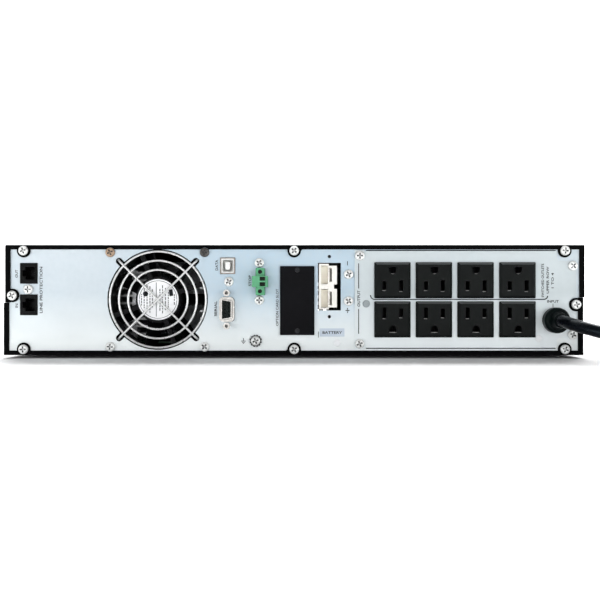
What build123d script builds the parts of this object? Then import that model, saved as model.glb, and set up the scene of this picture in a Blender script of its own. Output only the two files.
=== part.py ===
"""Two-unit rackmount uninterruptible power supply, millimetres.

The connector side faces -Y, the front bezel faces +Y and +Z is up.  The origin is at the
centre of the footprint, on the surface that the feet stand on.  Heights in the tables
below are measured from the underside of the chassis, which is BASE_Z above that surface.
"""
from build123d import *
from math import cos, pi, radians, sin, tan
import os

os.makedirs("parts", exist_ok=True)

# ---------------------------------------------------------------- driving dimensions
CHASSIS_W = 440.0
CHASSIS_H = 83.5
CHASSIS_D = 380.0
SHEET = 1.0
BASE_Z = 2.3                 # height of the rubber feet
BEZEL_H = 86.0
BEZEL_D = 30.0
RACK_W = 482.6               # across the rack ears
RACK_SLOT_PITCH_X = 465.1
RACK_SLOT_PITCH_Z = 76.2
TERMINAL_PROUD = 12.0        # the terminal plug reaches furthest out at the back
DISPLAY_PROUD = 4.0
BUTTON_PROUD = 1.2

DEPTH = TERMINAL_PROUD + CHASSIS_D + BEZEL_D + DISPLAY_PROUD + BUTTON_PROUD
REAR_Y = TERMINAL_PROUD - DEPTH / 2          # outer face of the covers' rear flange
PANEL_Y = REAR_Y + SHEET                     # outer face of the rear panel
FRONT_Y = REAR_Y + CHASSIS_D                 # where the bezel meets the chassis
BEZEL_Y = FRONT_Y + BEZEL_D                  # front face of the bezel
HALF_W = CHASSIS_W / 2
MID_H = CHASSIS_H / 2

# Covers: each lies outside the other on one side and meets it at a split line.
SPLIT_H = 39.8
LAP = 11.0
FLANGE_H = 3.4
FLANGE_W = 3.9
EAR_R = 5.1
EAR_X = 205.0
EAR_H = 4.4
SIDE_EAR_X = 213.5
SIDE_EAR_H = 38.3

# Fasteners
SCREW_HEAD_R = 3.6
SCREW_HEAD_H = 2.1
SCREW_R = 1.5
SCREW_HOLE_R = 1.65
CARD_SCREW_R = 0.95

# Places on the rear panel: (x, height)
FAN = (-103.7, 42.1)
FAN_SIZE = 80.0
FAN_DEPTH = 25.0
FAN_PITCH = 71.5
FAN_HOLE_R = 38.2
JACKS = {"upper": (-201.3, 62.0), "lower": (-201.3, 38.1)}
JACK_W, JACK_H = 13.1, 15.5
DATA_PORT = (-50.5, 67.7)
DATA_W, DATA_H = 11.2, 12.3
SERIAL = (-51.0, 34.6)
SERIAL_PITCH = 25.0
SERIAL_STUD_R = 1.5
SKIRT_W, SKIRT_H, SKIRT_R = 11.4, 18.6, 3.4  # rounded skirt of the serial port
TERMINAL = (-25.6, 55.6)
HEADER_W, HEADER_H = 6.8, 20.0
GROUND = (-29.2, 10.8)
CARD = (2.3, 41.3)
CARD_W, CARD_H = 26.1, 52.3
CARD_HOLE_W, CARD_HOLE_H = 22.1, 40.3
CARD_SCREWS = [(2.3, 64.5), (2.3, 18.4)]
BATT_PORT = (26.7, 51.9)
BATT_PORT_W, BATT_PORT_H = 17.4, 36.1
BATT_FIX_PITCH, BATT_FIX_R = 45.7, 1.3
EMBOSS, EMBOSS_R, EMBOSS_RISE = (32.7, 8.6), 2.8, 0.25
OUTLET_X = (74.3, 105.7, 137.2, 168.9)
OUTLET_TOP_H = 56.7
OUTLET_LOW_H = 27.1
OUTLET_SIZE = 27.4
PLATE_X0, PLATE_X1 = 45.8, 213.7
PLATE_H0, PLATE_H1 = 4.8, 79.6
INLET = (197.5, 26.4)
PLATE_SCREWS = [(49.7, 75.3), (49.5, 8.6), (210.9, 67.6), (210.7, 15.5)]
PANEL_SCREWS = [(-201.6, 49.8), (-49.5, 55.6), (-26.4, 69.9), (-26.4, 41.6), (41.2, 61.2), (41.2, 40.9)]
FAN_SCREWS = [(FAN[0] + sx * FAN_PITCH / 2, FAN[1] + sz * FAN_PITCH / 2) for sx in (-1, 1) for sz in (-1, 1)]

# Input cord
CORD_D = 9.0
COIL_MID_R = 48.0
COIL_X = 298.0
BOOT_OUT = 16.0              # from the rear panel to the strain relief's tip


# ---------------------------------------------------------------- helpers
def across(y, height=0.0):
    """A plane facing -Y at depth y, with x along +X and y up from the chassis underside."""
    return Plane(origin=(0, y, BASE_Z + height), x_dir=(1, 0, 0), z_dir=(0, -1, 0))


def back(proud=0.0):
    """A plane facing -Y that lies proud of the rear panel's outer face."""
    return across(PANEL_Y - proud)


def level(height):
    """A horizontal plane at a height above the chassis underside."""
    return Plane.XY.offset(BASE_Z + height)


def save(piece, name):
    """Label a finished piece and write it as one STEP file."""
    piece.part.label = name
    export_step(piece.part, f"parts/{name}.step")


def slab(plane, x, height, width, tall, depth, mode=Mode.ADD):
    """Add or cut a rectangular block, sketched on a plane and extruded behind it."""
    with BuildSketch(plane) as outline:
        with Locations((x, height)):
            Rectangle(width, tall)
    extrude(outline.sketch, amount=-depth, mode=mode)


def rod(plane, x, height, radius, depth, mode=Mode.ADD):
    """Add or cut a round bar, sketched on a plane and extruded behind it."""
    with BuildSketch(plane) as outline:
        with Locations((x, height)):
            Circle(radius)
    extrude(outline.sketch, amount=-depth, mode=mode)


def pan_head_screw(x, height, seat_y, length, turn=0):
    """Add one pan-head screw with a cross recess, its head seated at depth seat_y."""
    recess_w, recess_l, recess_d, dome = 1.15, 4.6, 1.2, 1.2
    rod(across(seat_y - SCREW_HEAD_H), x, height, SCREW_HEAD_R, SCREW_HEAD_H)
    fillet(faces(Select.LAST).sort_by(Axis.Y)[0].edges(), dome)
    with BuildSketch(across(seat_y - SCREW_HEAD_H)) as recess:
        with Locations((x, height)):
            Rectangle(recess_w, recess_l, rotation=turn)
            Rectangle(recess_l, recess_w, rotation=turn)
    extrude(recess.sketch, amount=-recess_d, mode=Mode.SUBTRACT)
    rod(across(seat_y), x, height, SCREW_R, length)


# ---------------------------------------------------------------- covers
def make_half_cover():
    """Folded steel half-cover: floor, two walls, a lap tongue and the rear flange with ears."""
    vent_w, vent_tall, vent_pitch, vent_count, vent_h = 3.0, 17.0, 8.0, 16, 17.0
    vent_y = REAR_Y + CHASSIS_D / 2 - 30
    tongue_back, tongue_low, flange_gap = 2.5 * SHEET, 10.0, 0.8
    right_x = HALF_W - SHEET
    right_top = CHASSIS_H - SPLIT_H - 0.1
    with BuildPart() as cover:
        with BuildSketch(across(REAR_Y)):
            with BuildLine():
                Polyline(
                    (-HALF_W, 0), (right_x, 0), (right_x, right_top), (right_x - SHEET, right_top),
                    (right_x - SHEET, SHEET), (-HALF_W + SHEET, SHEET), (-HALF_W + SHEET, SPLIT_H),
                    (-HALF_W, SPLIT_H), close=True)
            make_face()
        extrude(amount=-CHASSIS_D)
        bottom_corners = cover.edges().filter_by(Axis.Y).group_by(Axis.Z)[0]
        fillet(bottom_corners, 0.8)
        # tongue that lies inside the other cover's wall
        slab(across(REAR_Y + tongue_back), right_x - SHEET / 2, (tongue_low + right_top + LAP) / 2, SHEET,
             right_top + LAP - tongue_low, CHASSIS_D - 2 * tongue_back)
        # rear flange with its screw ears, trimmed to the cover's own outline
        with BuildSketch(across(REAR_Y)):
            with Locations((-0.5 * SHEET, FLANGE_H / 2)):
                Rectangle(CHASSIS_W - SHEET - 2 * flange_gap, FLANGE_H)
            with Locations((-HALF_W + FLANGE_W / 2, (SPLIT_H + flange_gap) / 2)):
                Rectangle(FLANGE_W, SPLIT_H - flange_gap)
            with Locations((right_x - FLANGE_W / 2, (right_top + flange_gap) / 2)):
                Rectangle(FLANGE_W, right_top - flange_gap)
            with Locations((-EAR_X, EAR_H), (EAR_X, EAR_H), (SIDE_EAR_X, SIDE_EAR_H)):
                Circle(EAR_R)
            # sloping sides of the middle ear
            with BuildLine():
                Polyline((-9.5, 0.5), (6.0, 0.5), (EAR_R, EAR_H), (0, EAR_H + EAR_R), (-EAR_R, EAR_H), close=True)
            make_face()
            with Locations((0, EAR_H)):
                Circle(EAR_R)
            with Locations((-0.5 * SHEET, right_top / 2)):
                Rectangle(CHASSIS_W - SHEET, right_top, mode=Mode.INTERSECT)
            with Locations((-EAR_X, EAR_H), (0, EAR_H), (EAR_X, EAR_H), (SIDE_EAR_X, SIDE_EAR_H)):
                Circle(SCREW_HOLE_R, mode=Mode.SUBTRACT)
        extrude(amount=-SHEET)
        # cooling slots low in the outer wall
        with BuildSketch(Plane.YZ.offset(-HALF_W - 1)):
            with Locations((vent_y, BASE_Z + vent_h)):
                with GridLocations(vent_pitch, 1, vent_count, 1):
                    SlotOverall(vent_tall, vent_w, rotation=90)
        extrude(amount=3 * SHEET, mode=Mode.SUBTRACT)
    return cover.part


def notch_flange():
    """Cut room in a cover's rear flange for the heads of the fan screws."""
    for screw_x, screw_h in FAN_SCREWS:
        rod(across(REAR_Y), screw_x, screw_h, SCREW_HEAD_R + 0.15, SHEET, Mode.SUBTRACT)


# Main board, seen from above: a full-width part behind the panel and a part beside the battery bay.
BOARD_H = 6.5
STANDOFF_R = 3.0
BOARD_T = 1.6
BOARD_REAR = REAR_Y + 45
BOARD_STEP = REAR_Y + 196
BOARD_FRONT = REAR_Y + 370
BOARD_LEFT, BOARD_RIGHT, BOARD_INNER = -206.0, 206.0, 6.0
BOARD_FIXINGS = [
    (x, y) for x, y in (
        (BOARD_LEFT + 8, BOARD_REAR + 8), (BOARD_RIGHT - 8, BOARD_REAR + 8), (BOARD_LEFT + 8, BOARD_STEP - 8),
        (BOARD_RIGHT - 8, BOARD_FRONT - 8), (BOARD_INNER + 8, BOARD_FRONT - 8), (0, BOARD_REAR + 8))]

half_cover = make_half_cover()

with BuildPart() as lower_cover:
    add(half_cover)
    with BuildSketch(level(SHEET)):
        with Locations(*BOARD_FIXINGS):
            Circle(STANDOFF_R)
    extrude(amount=BOARD_H - SHEET)
    notch_flange()
save(lower_cover, "lower_cover")

with BuildPart() as upper_cover:
    add(half_cover.rotate(Axis((0, 0, BASE_Z + MID_H), (0, 1, 0)), 180))
    notch_flange()
save(upper_cover, "upper_cover")

# ---------------------------------------------------------------- rear panel and outlet plate
BACK_CUT_W, BACK_CUT_H = 132.0, 66.0         # opening behind the outlet plate
BACK_CUT = (121.5, 42.0)
INLET_HOLE_R = 7.0
HOLE_GAP = 0.4                               # clearance round a part that stands in a cut-out

with BuildPart() as rear_panel:
    fan_slot_w, fan_slot_r = 5.0, 43.8
    with BuildSketch(back()):
        with Locations((0, MID_H)):
            Rectangle(CHASSIS_W - 4.4, CHASSIS_H - 2.2)
        with Locations(FAN):
            Circle(FAN_HOLE_R, mode=Mode.SUBTRACT)
            SlotOverall(2 * fan_slot_r, fan_slot_w, rotation=45, mode=Mode.SUBTRACT)
            SlotOverall(2 * fan_slot_r, fan_slot_w, rotation=-45, mode=Mode.SUBTRACT)
        with Locations(*JACKS.values()):
            Rectangle(JACK_W + HOLE_GAP, JACK_H + HOLE_GAP, mode=Mode.SUBTRACT)
        with Locations(DATA_PORT):
            Rectangle(DATA_W + HOLE_GAP, DATA_H + HOLE_GAP, mode=Mode.SUBTRACT)
        with Locations(SERIAL):
            RectangleRounded(SKIRT_W + HOLE_GAP, SKIRT_H + HOLE_GAP, SKIRT_R, mode=Mode.SUBTRACT)
        with Locations(TERMINAL):
            Rectangle(HEADER_W + HOLE_GAP, HEADER_H + HOLE_GAP, mode=Mode.SUBTRACT)
        with Locations(CARD):
            Rectangle(CARD_HOLE_W, CARD_HOLE_H, mode=Mode.SUBTRACT)
        with Locations(BATT_PORT):
            Rectangle(BATT_PORT_W, BATT_PORT_H, mode=Mode.SUBTRACT)
            with GridLocations(1, BATT_FIX_PITCH, 1, 2):
                Circle(BATT_FIX_R, mode=Mode.SUBTRACT)
        with Locations(BACK_CUT):
            Rectangle(BACK_CUT_W, BACK_CUT_H, mode=Mode.SUBTRACT)
        with Locations(INLET):
            Circle(INLET_HOLE_R, mode=Mode.SUBTRACT)
        with Locations((SERIAL[0], SERIAL[1] + SERIAL_PITCH / 2), (SERIAL[0], SERIAL[1] - SERIAL_PITCH / 2)):
            Circle(SERIAL_STUD_R + HOLE_GAP / 2, mode=Mode.SUBTRACT)
        cover_points = [(sx * EAR_X, h) for sx in (-1, 0, 1) for h in (EAR_H, CHASSIS_H - EAR_H)]
        side_points = [(SIDE_EAR_X, SIDE_EAR_H), (-SIDE_EAR_X, CHASSIS_H - SIDE_EAR_H)]
        with Locations(*cover_points, *side_points, *PANEL_SCREWS, *PLATE_SCREWS, *FAN_SCREWS, GROUND):
            Circle(SCREW_HOLE_R, mode=Mode.SUBTRACT)
        with Locations(*CARD_SCREWS):
            Circle(CARD_SCREW_R + 0.05, mode=Mode.SUBTRACT)
    extrude(amount=-SHEET)
    # shallow round emboss low beside the battery connector
    rod(back(EMBOSS_RISE), *EMBOSS, EMBOSS_R, EMBOSS_RISE)
save(rear_panel, "rear_panel")

with BuildPart() as outlet_panel:
    notch_x, notch_h, relief_x, relief_r, relief_in, lip = 199.0, 71.5, 54.4, 0.9, 0.4, 6.0
    outlet_hole = OUTLET_SIZE - 1.0
    plate_mid = (PLATE_H0 + PLATE_H1) / 2
    with BuildSketch(back(SHEET)):
        with BuildLine():
            Polyline(
                (PLATE_X0, PLATE_H0), (notch_x, PLATE_H0), (notch_x, plate_mid * 2 - notch_h),
                (PLATE_X1, plate_mid * 2 - notch_h), (PLATE_X1, notch_h), (notch_x, notch_h),
                (notch_x, PLATE_H1), (PLATE_X0, PLATE_H1), close=True)
        make_face()
        with Locations((relief_x, PLATE_H0 + relief_in), (relief_x, PLATE_H1 - relief_in)):
            Circle(relief_r, mode=Mode.SUBTRACT)
        with Locations(*[(outlet_x, outlet_h) for outlet_x in OUTLET_X for outlet_h in (OUTLET_TOP_H, OUTLET_LOW_H)]):
            Rectangle(outlet_hole, outlet_hole, mode=Mode.SUBTRACT)
        with Locations((SIDE_EAR_X, SIDE_EAR_H)):
            Circle(EAR_R + 0.6, mode=Mode.SUBTRACT)
        with Locations(INLET):
            Circle(INLET_HOLE_R, mode=Mode.SUBTRACT)
        with Locations(*PLATE_SCREWS):
            Circle(SCREW_HOLE_R, mode=Mode.SUBTRACT)
    extrude(amount=-SHEET)
    fillet(outlet_panel.edges().filter_by(Axis.Y).filter_by(lambda e: abs(e.center().X - notch_x) < 0.1), 2.0)
    # stiffening lips folded inwards inside the cut-out of the rear panel
    lip_w = BACK_CUT_W - 2.0
    for lip_h in (BACK_CUT[1] - BACK_CUT_H / 2 + 0.8, BACK_CUT[1] + BACK_CUT_H / 2 - 0.8):
        slab(back(), BACK_CUT[0], lip_h, lip_w, SHEET, lip)
save(outlet_panel, "outlet_panel")

# ---------------------------------------------------------------- fasteners
with BuildPart() as cover_screws:
    for index, (screw_x, screw_h) in enumerate(cover_points + side_points):
        pan_head_screw(screw_x, screw_h, REAR_Y, 6.0, turn=17 * index)
save(cover_screws, "cover_screws")

with BuildPart() as panel_screws:
    for index, (screw_x, screw_h) in enumerate(PANEL_SCREWS + FAN_SCREWS):
        pan_head_screw(screw_x, screw_h, PANEL_Y, 7.0, turn=29 * index)
    for index, (screw_x, screw_h) in enumerate(PLATE_SCREWS):
        pan_head_screw(screw_x, screw_h, PANEL_Y - SHEET, 7.0, turn=23 * index)
save(panel_screws, "panel_screws")

with BuildPart() as ground_screw:
    washer_r, washer_t, tooth_count, tooth_w = 4.7, 0.9, 12, 1.1
    with BuildSketch(back(washer_t)):
        with Locations(GROUND):
            Circle(washer_r)
            Circle(SCREW_HOLE_R, mode=Mode.SUBTRACT)
            with PolarLocations(washer_r, tooth_count):
                Rectangle(tooth_w, tooth_w, mode=Mode.SUBTRACT)
    extrude(amount=-washer_t)
    pan_head_screw(GROUND[0], GROUND[1], PANEL_Y - washer_t, 9.0, turn=20)
save(ground_screw, "ground_screw")

# ---------------------------------------------------------------- fan
WIRE_R = 0.8
WIRE_SIDES = 8
GUARD_RINGS = (36.6, 29.6, 22.6)
FAN_Y = PANEL_Y + SHEET + 2 * WIRE_R         # outer face of the fan's frame
SHAFT_R = 1.5
HUB_R = 18.0

with BuildPart() as fan_guard:
    spoke_r, eye_r = 43.2, 3.0
    ring_y = PANEL_Y + SHEET - 0.2
    ring_wire_r = 0.72
    for ring_r in GUARD_RINGS:
        with BuildSketch(Plane(origin=(FAN[0], ring_y + WIRE_R, BASE_Z + FAN[1]), x_dir=(1, 0, 0), z_dir=(0, 0, 1))):
            with Locations((ring_r, 0)):
                RegularPolygon(ring_wire_r, WIRE_SIDES)
        revolve(axis=Axis((FAN[0], 0, BASE_Z + FAN[1]), (0, 1, 0)))
    for angle, spoke_y in ((45, ring_y), (135, ring_y + 0.3)):
        along = Plane(
            origin=(FAN[0] - spoke_r * cos(radians(angle)), spoke_y, BASE_Z + FAN[1] - spoke_r * sin(radians(angle))),
            z_dir=(cos(radians(angle)), 0, sin(radians(angle))))
        with BuildSketch(along):
            RegularPolygon(WIRE_R, WIRE_SIDES)
        extrude(amount=2 * spoke_r)
    # flattened eyes that the fan screws clamp behind the panel
    eye_reach = FAN_PITCH / 2 * 2 ** 0.5
    for eye_x, eye_h in FAN_SCREWS:
        with BuildSketch(across(PANEL_Y + SHEET)):
            with Locations((eye_x, eye_h)):
                Circle(eye_r)
            with BuildLine():
                toward = Vector(FAN[0] - eye_x, FAN[1] - eye_h).normalized()
                start = Vector(eye_x, eye_h) + toward * (eye_r - 0.4)
                end = Vector(eye_x, eye_h) + toward * (eye_reach - spoke_r + 3.0)
                side = Vector(-toward.Y, toward.X) * (WIRE_R + 0.2)
                Polyline(start + side, end + side, end - side, start - side, close=True)
            make_face()
            with Locations((eye_x, eye_h)):
                Circle(SCREW_HOLE_R, mode=Mode.SUBTRACT)
        extrude(amount=-2 * WIRE_R)
save(fan_guard, "fan_guard")

with BuildPart() as fan_frame:
    bore_r, motor_r, motor_t, strut_w = 37.6, 17.0, 4.0, 3.4
    with BuildSketch(across(FAN_Y)):
        with Locations(FAN):
            RectangleRounded(FAN_SIZE, FAN_SIZE, 3.0)
            Circle(bore_r, mode=Mode.SUBTRACT)
        with Locations(*FAN_SCREWS):
            Circle(2.1, mode=Mode.SUBTRACT)
    extrude(amount=-FAN_DEPTH)
    with BuildSketch(across(FAN_Y)):
        with Locations(FAN):
            Circle(motor_r)
            for strut_angle in (20, 110, 200, 290):
                Rectangle(bore_r + 1, strut_w, rotation=strut_angle, align=(Align.MIN, Align.CENTER))
    extrude(amount=-motor_t)
    # bearing tube with the shaft's bore
    rod(across(FAN_Y + motor_t), FAN[0], FAN[1], 5.0, 14.0)
    rod(across(FAN_Y + motor_t), FAN[0], FAN[1], SHAFT_R + 0.05, 14.0, Mode.SUBTRACT)
save(fan_frame, "fan_frame")

with BuildPart() as fan_rotor:
    blade_count, tip_r, blade_t, blade_len = 7, 36.6, 1.4, 17.0
    rotor_y = FAN_Y + 4.5
    cup_depth, cup_wall = 18.0, 2.0
    rod(across(rotor_y), FAN[0], FAN[1], HUB_R, cup_depth)
    rod(across(rotor_y), FAN[0], FAN[1], HUB_R - cup_wall, cup_depth - cup_wall, Mode.SUBTRACT)
    rod(across(rotor_y), FAN[0], FAN[1], SHAFT_R, cup_depth - cup_wall)
    for index in range(blade_count):
        turn = 360 / blade_count * index
        hub_plane = Plane(origin=(FAN[0], rotor_y + cup_depth / 2, BASE_Z + FAN[1]), x_dir=(0, 1, 0),
                          z_dir=(cos(radians(turn)), 0, sin(radians(turn))))
        with BuildSketch(hub_plane.offset(HUB_R - 0.8)):
            Rectangle(blade_len - 3, blade_t, rotation=38)
        with BuildSketch(hub_plane.offset(tip_r)):
            Rectangle(blade_len, blade_t, rotation=24)
        loft()
save(fan_rotor, "fan_rotor")

# ---------------------------------------------------------------- signal connectors
with BuildPart() as jack_template:
    jack_depth, jack_proud, mouth_w, mouth_h, mouth_depth, key_w, key_h = 15.0, 0.6, 7.4, 9.8, 11.0, 2.2, 4.7
    mouth_x, key_x, contact_x, contact_pitch = 1.2, -3.6, 4.4, 1.4
    slab(back(jack_proud), 0, 0, JACK_W, JACK_H, jack_depth)
    fillet(jack_template.edges().filter_by(Axis.Y), 0.4)
    slab(back(jack_proud), mouth_x, 0, mouth_w, mouth_h, mouth_depth, Mode.SUBTRACT)
    slab(back(jack_proud), key_x, 0, key_w, key_h, mouth_depth, Mode.SUBTRACT)
    # row of spring contacts on the mouth's far wall
    for contact in range(4):
        slab(back(jack_proud - 1.5), contact_x, contact_pitch * (contact - 1.5), 1.1, 0.5, mouth_depth - 2)
for jack_name, (jack_x, jack_h) in JACKS.items():
    with BuildPart() as line_jack:
        add(jack_template.part.moved(Location((jack_x, 0, jack_h))))
    save(line_jack, f"line_jack_{jack_name}")

PORT_BOARD_Y = PANEL_Y + 14.0

with BuildPart() as data_port_shell:
    shell_t, port_proud = 0.7, 0.8
    data_depth = PORT_BOARD_Y - PANEL_Y + port_proud
    slab(back(port_proud), *DATA_PORT, DATA_W, DATA_H, data_depth)
    slab(back(port_proud), *DATA_PORT, DATA_W - 2 * shell_t, DATA_H - 2 * shell_t, data_depth - 1.0, Mode.SUBTRACT)
save(data_port_shell, "data_port_shell")

with BuildPart() as data_port_tongue:
    liner_t, tongue_w, tongue_h = 1.0, 3.4, 5.6
    inner_w, inner_h = DATA_W - 2 * shell_t, DATA_H - 2 * shell_t
    slab(back(0.2), *DATA_PORT, inner_w, inner_h, data_depth - 1.6)
    with BuildSketch(back(0.2)):
        with Locations(DATA_PORT):
            Rectangle(inner_w - 2 * liner_t, inner_h - 2 * liner_t)
            Rectangle(tongue_w, tongue_h, mode=Mode.SUBTRACT)
    extrude(amount=-9.0, mode=Mode.SUBTRACT)
save(data_port_tongue, "data_port_tongue")

SERIAL_W, SERIAL_H = 12.5, 30.8

with BuildPart() as serial_port_shell:
    d_wide, d_tall, d_proud, d_slant, tab_t = 8.0, 15.6, 5.6, 10, 0.9
    skirt_proud = 2.6
    d_hole = (d_tall - 1.4, d_wide - 1.4, 90 - d_slant)
    # tabs behind the panel, a rounded skirt through it and the D-shaped shell on that
    with BuildSketch(back(-SHEET)):
        with Locations(SERIAL):
            RectangleRounded(SERIAL_W, SERIAL_H, 1.6)
            with GridLocations(1, SERIAL_PITCH, 1, 2):
                Circle(SERIAL_STUD_R + HOLE_GAP / 2, mode=Mode.SUBTRACT)
            Trapezoid(*d_hole, rotation=-90, mode=Mode.SUBTRACT)
    extrude(amount=-tab_t)
    with BuildSketch(back(skirt_proud)):
        with Locations(SERIAL):
            RectangleRounded(SKIRT_W, SKIRT_H, SKIRT_R)
            Trapezoid(*d_hole, rotation=-90, mode=Mode.SUBTRACT)
    extrude(amount=-skirt_proud - SHEET)
    with BuildSketch(back(d_proud)):
        with Locations(SERIAL):
            Trapezoid(d_tall, d_wide, 90 - d_slant, rotation=-90)
            Trapezoid(*d_hole, rotation=-90, mode=Mode.SUBTRACT)
    extrude(amount=-d_proud + skirt_proud)
save(serial_port_shell, "serial_port_shell")

with BuildPart() as serial_port_insert:
    with BuildSketch(back(d_proud - 0.6)):
        with Locations(SERIAL):
            Trapezoid(*d_hole, rotation=-90)
    extrude(amount=-(d_proud - 0.6) - (PORT_BOARD_Y - PANEL_Y))
    pin_pitch, row_gap, socket_r = 2.77, 2.84, 0.65
    with BuildSketch(back(d_proud - 0.6)):
        with Locations((SERIAL[0] - row_gap / 2, SERIAL[1])):
            with GridLocations(1, pin_pitch, 1, 5):
                Circle(socket_r)
        with Locations((SERIAL[0] + row_gap / 2, SERIAL[1])):
            with GridLocations(1, pin_pitch, 1, 4):
                Circle(socket_r)
    extrude(amount=-5.0, mode=Mode.SUBTRACT)
save(serial_port_insert, "serial_port_insert")

with BuildPart() as serial_port_nuts:
    nut_across, nut_h, nut_bore_r = 4.8, 5.2, 1.3
    for nut_side in (-1, 1):
        nut_x, nut_height = SERIAL[0], SERIAL[1] + nut_side * SERIAL_PITCH / 2
        with BuildSketch(back(nut_h)):
            with Locations((nut_x, nut_height)):
                RegularPolygon(nut_across / 2, 6, major_radius=False)
        extrude(amount=-nut_h)
        rod(back(), nut_x, nut_height, SERIAL_STUD_R, 6.0)
        rod(back(nut_h), nut_x, nut_height, nut_bore_r, nut_h + 1.0, Mode.SUBTRACT)
save(serial_port_nuts, "serial_port_nuts")

with BuildPart() as comm_board:
    slab(across(PORT_BOARD_Y), -38.0, 45.0, 46.0, 66.0, BOARD_T)
save(comm_board, "comm_board")

with BuildPart() as surge_board:
    slab(back(jack_proud - jack_depth), -203.0, 50.0, 18.0, 46.0, BOARD_T)
save(surge_board, "surge_board")

# ---------------------------------------------------------------- shutdown terminal
TERMINAL_PITCH = 5.08
HEADER_PROUD = 1.0
SOCKET_W, SOCKET_H, SOCKET_D = 5.2, 11.4, 9.0
WELL_PITCH = 14.6

with BuildPart() as terminal_header:
    header_depth = PORT_BOARD_Y - PANEL_Y + HEADER_PROUD
    slab(back(HEADER_PROUD), *TERMINAL, HEADER_W, HEADER_H, header_depth)
    slab(back(HEADER_PROUD), *TERMINAL, SOCKET_W, SOCKET_H, SOCKET_D, Mode.SUBTRACT)
    for pole in (-0.5, 0.5):
        slab(back(HEADER_PROUD - 2.0), TERMINAL[0], TERMINAL[1] + pole * TERMINAL_PITCH, 0.9, 0.9, 8.0)
save(terminal_header, "terminal_header")

with BuildPart() as terminal_plug:
    flange_w, flange_tall, flange_t, body_w, body_tall, well_r = 6.6, 20.4, 6.0, 11.8, 8.2, 1.6
    plug_proud = TERMINAL_PROUD - SHEET
    plug_gap = 0.3
    wire_x, wire_pitch, wire_w, wire_tall = 2.0, 4.1, 4.2, 3.0
    flange_back = HEADER_PROUD + plug_gap
    slab(back(flange_back + flange_t), *TERMINAL, flange_w, flange_tall, flange_t)
    fillet(terminal_plug.edges().filter_by(Axis.Y), 0.8)
    slab(back(plug_proud), *TERMINAL, body_w, body_tall, plug_proud - flange_back)
    body_front = terminal_plug.faces().sort_by(Axis.Y)[0]
    chamfer(body_front.edges().filter_by(Axis.Z), 1.0)
    # neck that enters the header's socket, with clearance all round
    slab(back(flange_back), *TERMINAL, SOCKET_W - 0.8, SOCKET_H - 1.0, SOCKET_D - 3.0)
    for pole in (-0.5, 0.5):
        slab(back(plug_proud), TERMINAL[0] + wire_x, TERMINAL[1] + pole * wire_pitch, wire_w, wire_tall, 7.0,
             Mode.SUBTRACT)
        slab(back(flange_back), TERMINAL[0], TERMINAL[1] + pole * TERMINAL_PITCH, 1.6, 1.6, 6.0, Mode.SUBTRACT)
    for well in (-0.5, 0.5):
        rod(back(flange_back + flange_t), TERMINAL[0], TERMINAL[1] + well * WELL_PITCH, well_r, 4.4, Mode.SUBTRACT)
save(terminal_plug, "terminal_plug")

with BuildPart() as terminal_plug_screws:
    screw_face = flange_back + flange_t - 2.0
    for well in (-0.5, 0.5):
        rod(back(screw_face), TERMINAL[0], TERMINAL[1] + well * WELL_PITCH, well_r - 0.1, 2.4)
        slab(back(screw_face), TERMINAL[0], TERMINAL[1] + well * WELL_PITCH, 2.6, 0.6, 0.8, Mode.SUBTRACT)
save(terminal_plug_screws, "terminal_plug_screws")

# ---------------------------------------------------------------- card slot
with BuildPart() as card_slot_cover:
    cover_t = 1.2
    slab(back(cover_t), *CARD, CARD_W, CARD_H, cover_t)
    fillet(card_slot_cover.edges().filter_by(Axis.Y), 0.6)
    for screw_x, screw_h in CARD_SCREWS:
        rod(back(cover_t), screw_x, screw_h, CARD_SCREW_R + 0.2, cover_t, Mode.SUBTRACT)
    slab(back(), CARD[0], CARD[1], CARD_W - 8.0, CARD_H - 16.0, 3.0)
save(card_slot_cover, "card_slot_cover")

with BuildPart() as card_cover_screws:
    for screw_x, screw_h in CARD_SCREWS:
        rod(back(cover_t + 0.5), screw_x, screw_h, 1.9, 0.5)
        rod(back(cover_t), screw_x, screw_h, CARD_SCREW_R, 3.4)
        slab(back(cover_t + 0.5), screw_x, screw_h, 2.2, 0.5, 0.3, Mode.SUBTRACT)
save(card_cover_screws, "card_cover_screws")

with BuildPart() as card_cage:
    cage_depth, cage_t, guide = 120.0, 1.0, 1.5
    cage_w, cage_h = CARD_W - 2.0, CARD_H - 10.0
    slab(back(-SHEET), *CARD, cage_w, cage_h, cage_depth)
    slab(back(-SHEET), *CARD, cage_w - 2 * cage_t, cage_h - 2 * cage_t, cage_depth - cage_t, Mode.SUBTRACT)
    # two rails that guide an option card
    for rail_h in (-1, 1):
        for rail_x in (-1, 1):
            slab(back(-SHEET - 6.0), CARD[0] + rail_x * guide, CARD[1] + rail_h * (cage_h / 2 - cage_t - 1.0),
                 1.0, 2.0, cage_depth - 12.0)
    # windows in the side walls let air past the card
    with BuildSketch(Plane.YZ.offset(CARD[0] - CARD_W)):
        with Locations((PANEL_Y + SHEET + cage_depth / 2, BASE_Z + CARD[1])):
            with GridLocations(26, 1, 4, 1):
                SlotOverall(26.0, 8.0, rotation=90)
    extrude(amount=2 * CARD_W, mode=Mode.SUBTRACT)
save(card_cage, "card_cage")

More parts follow.
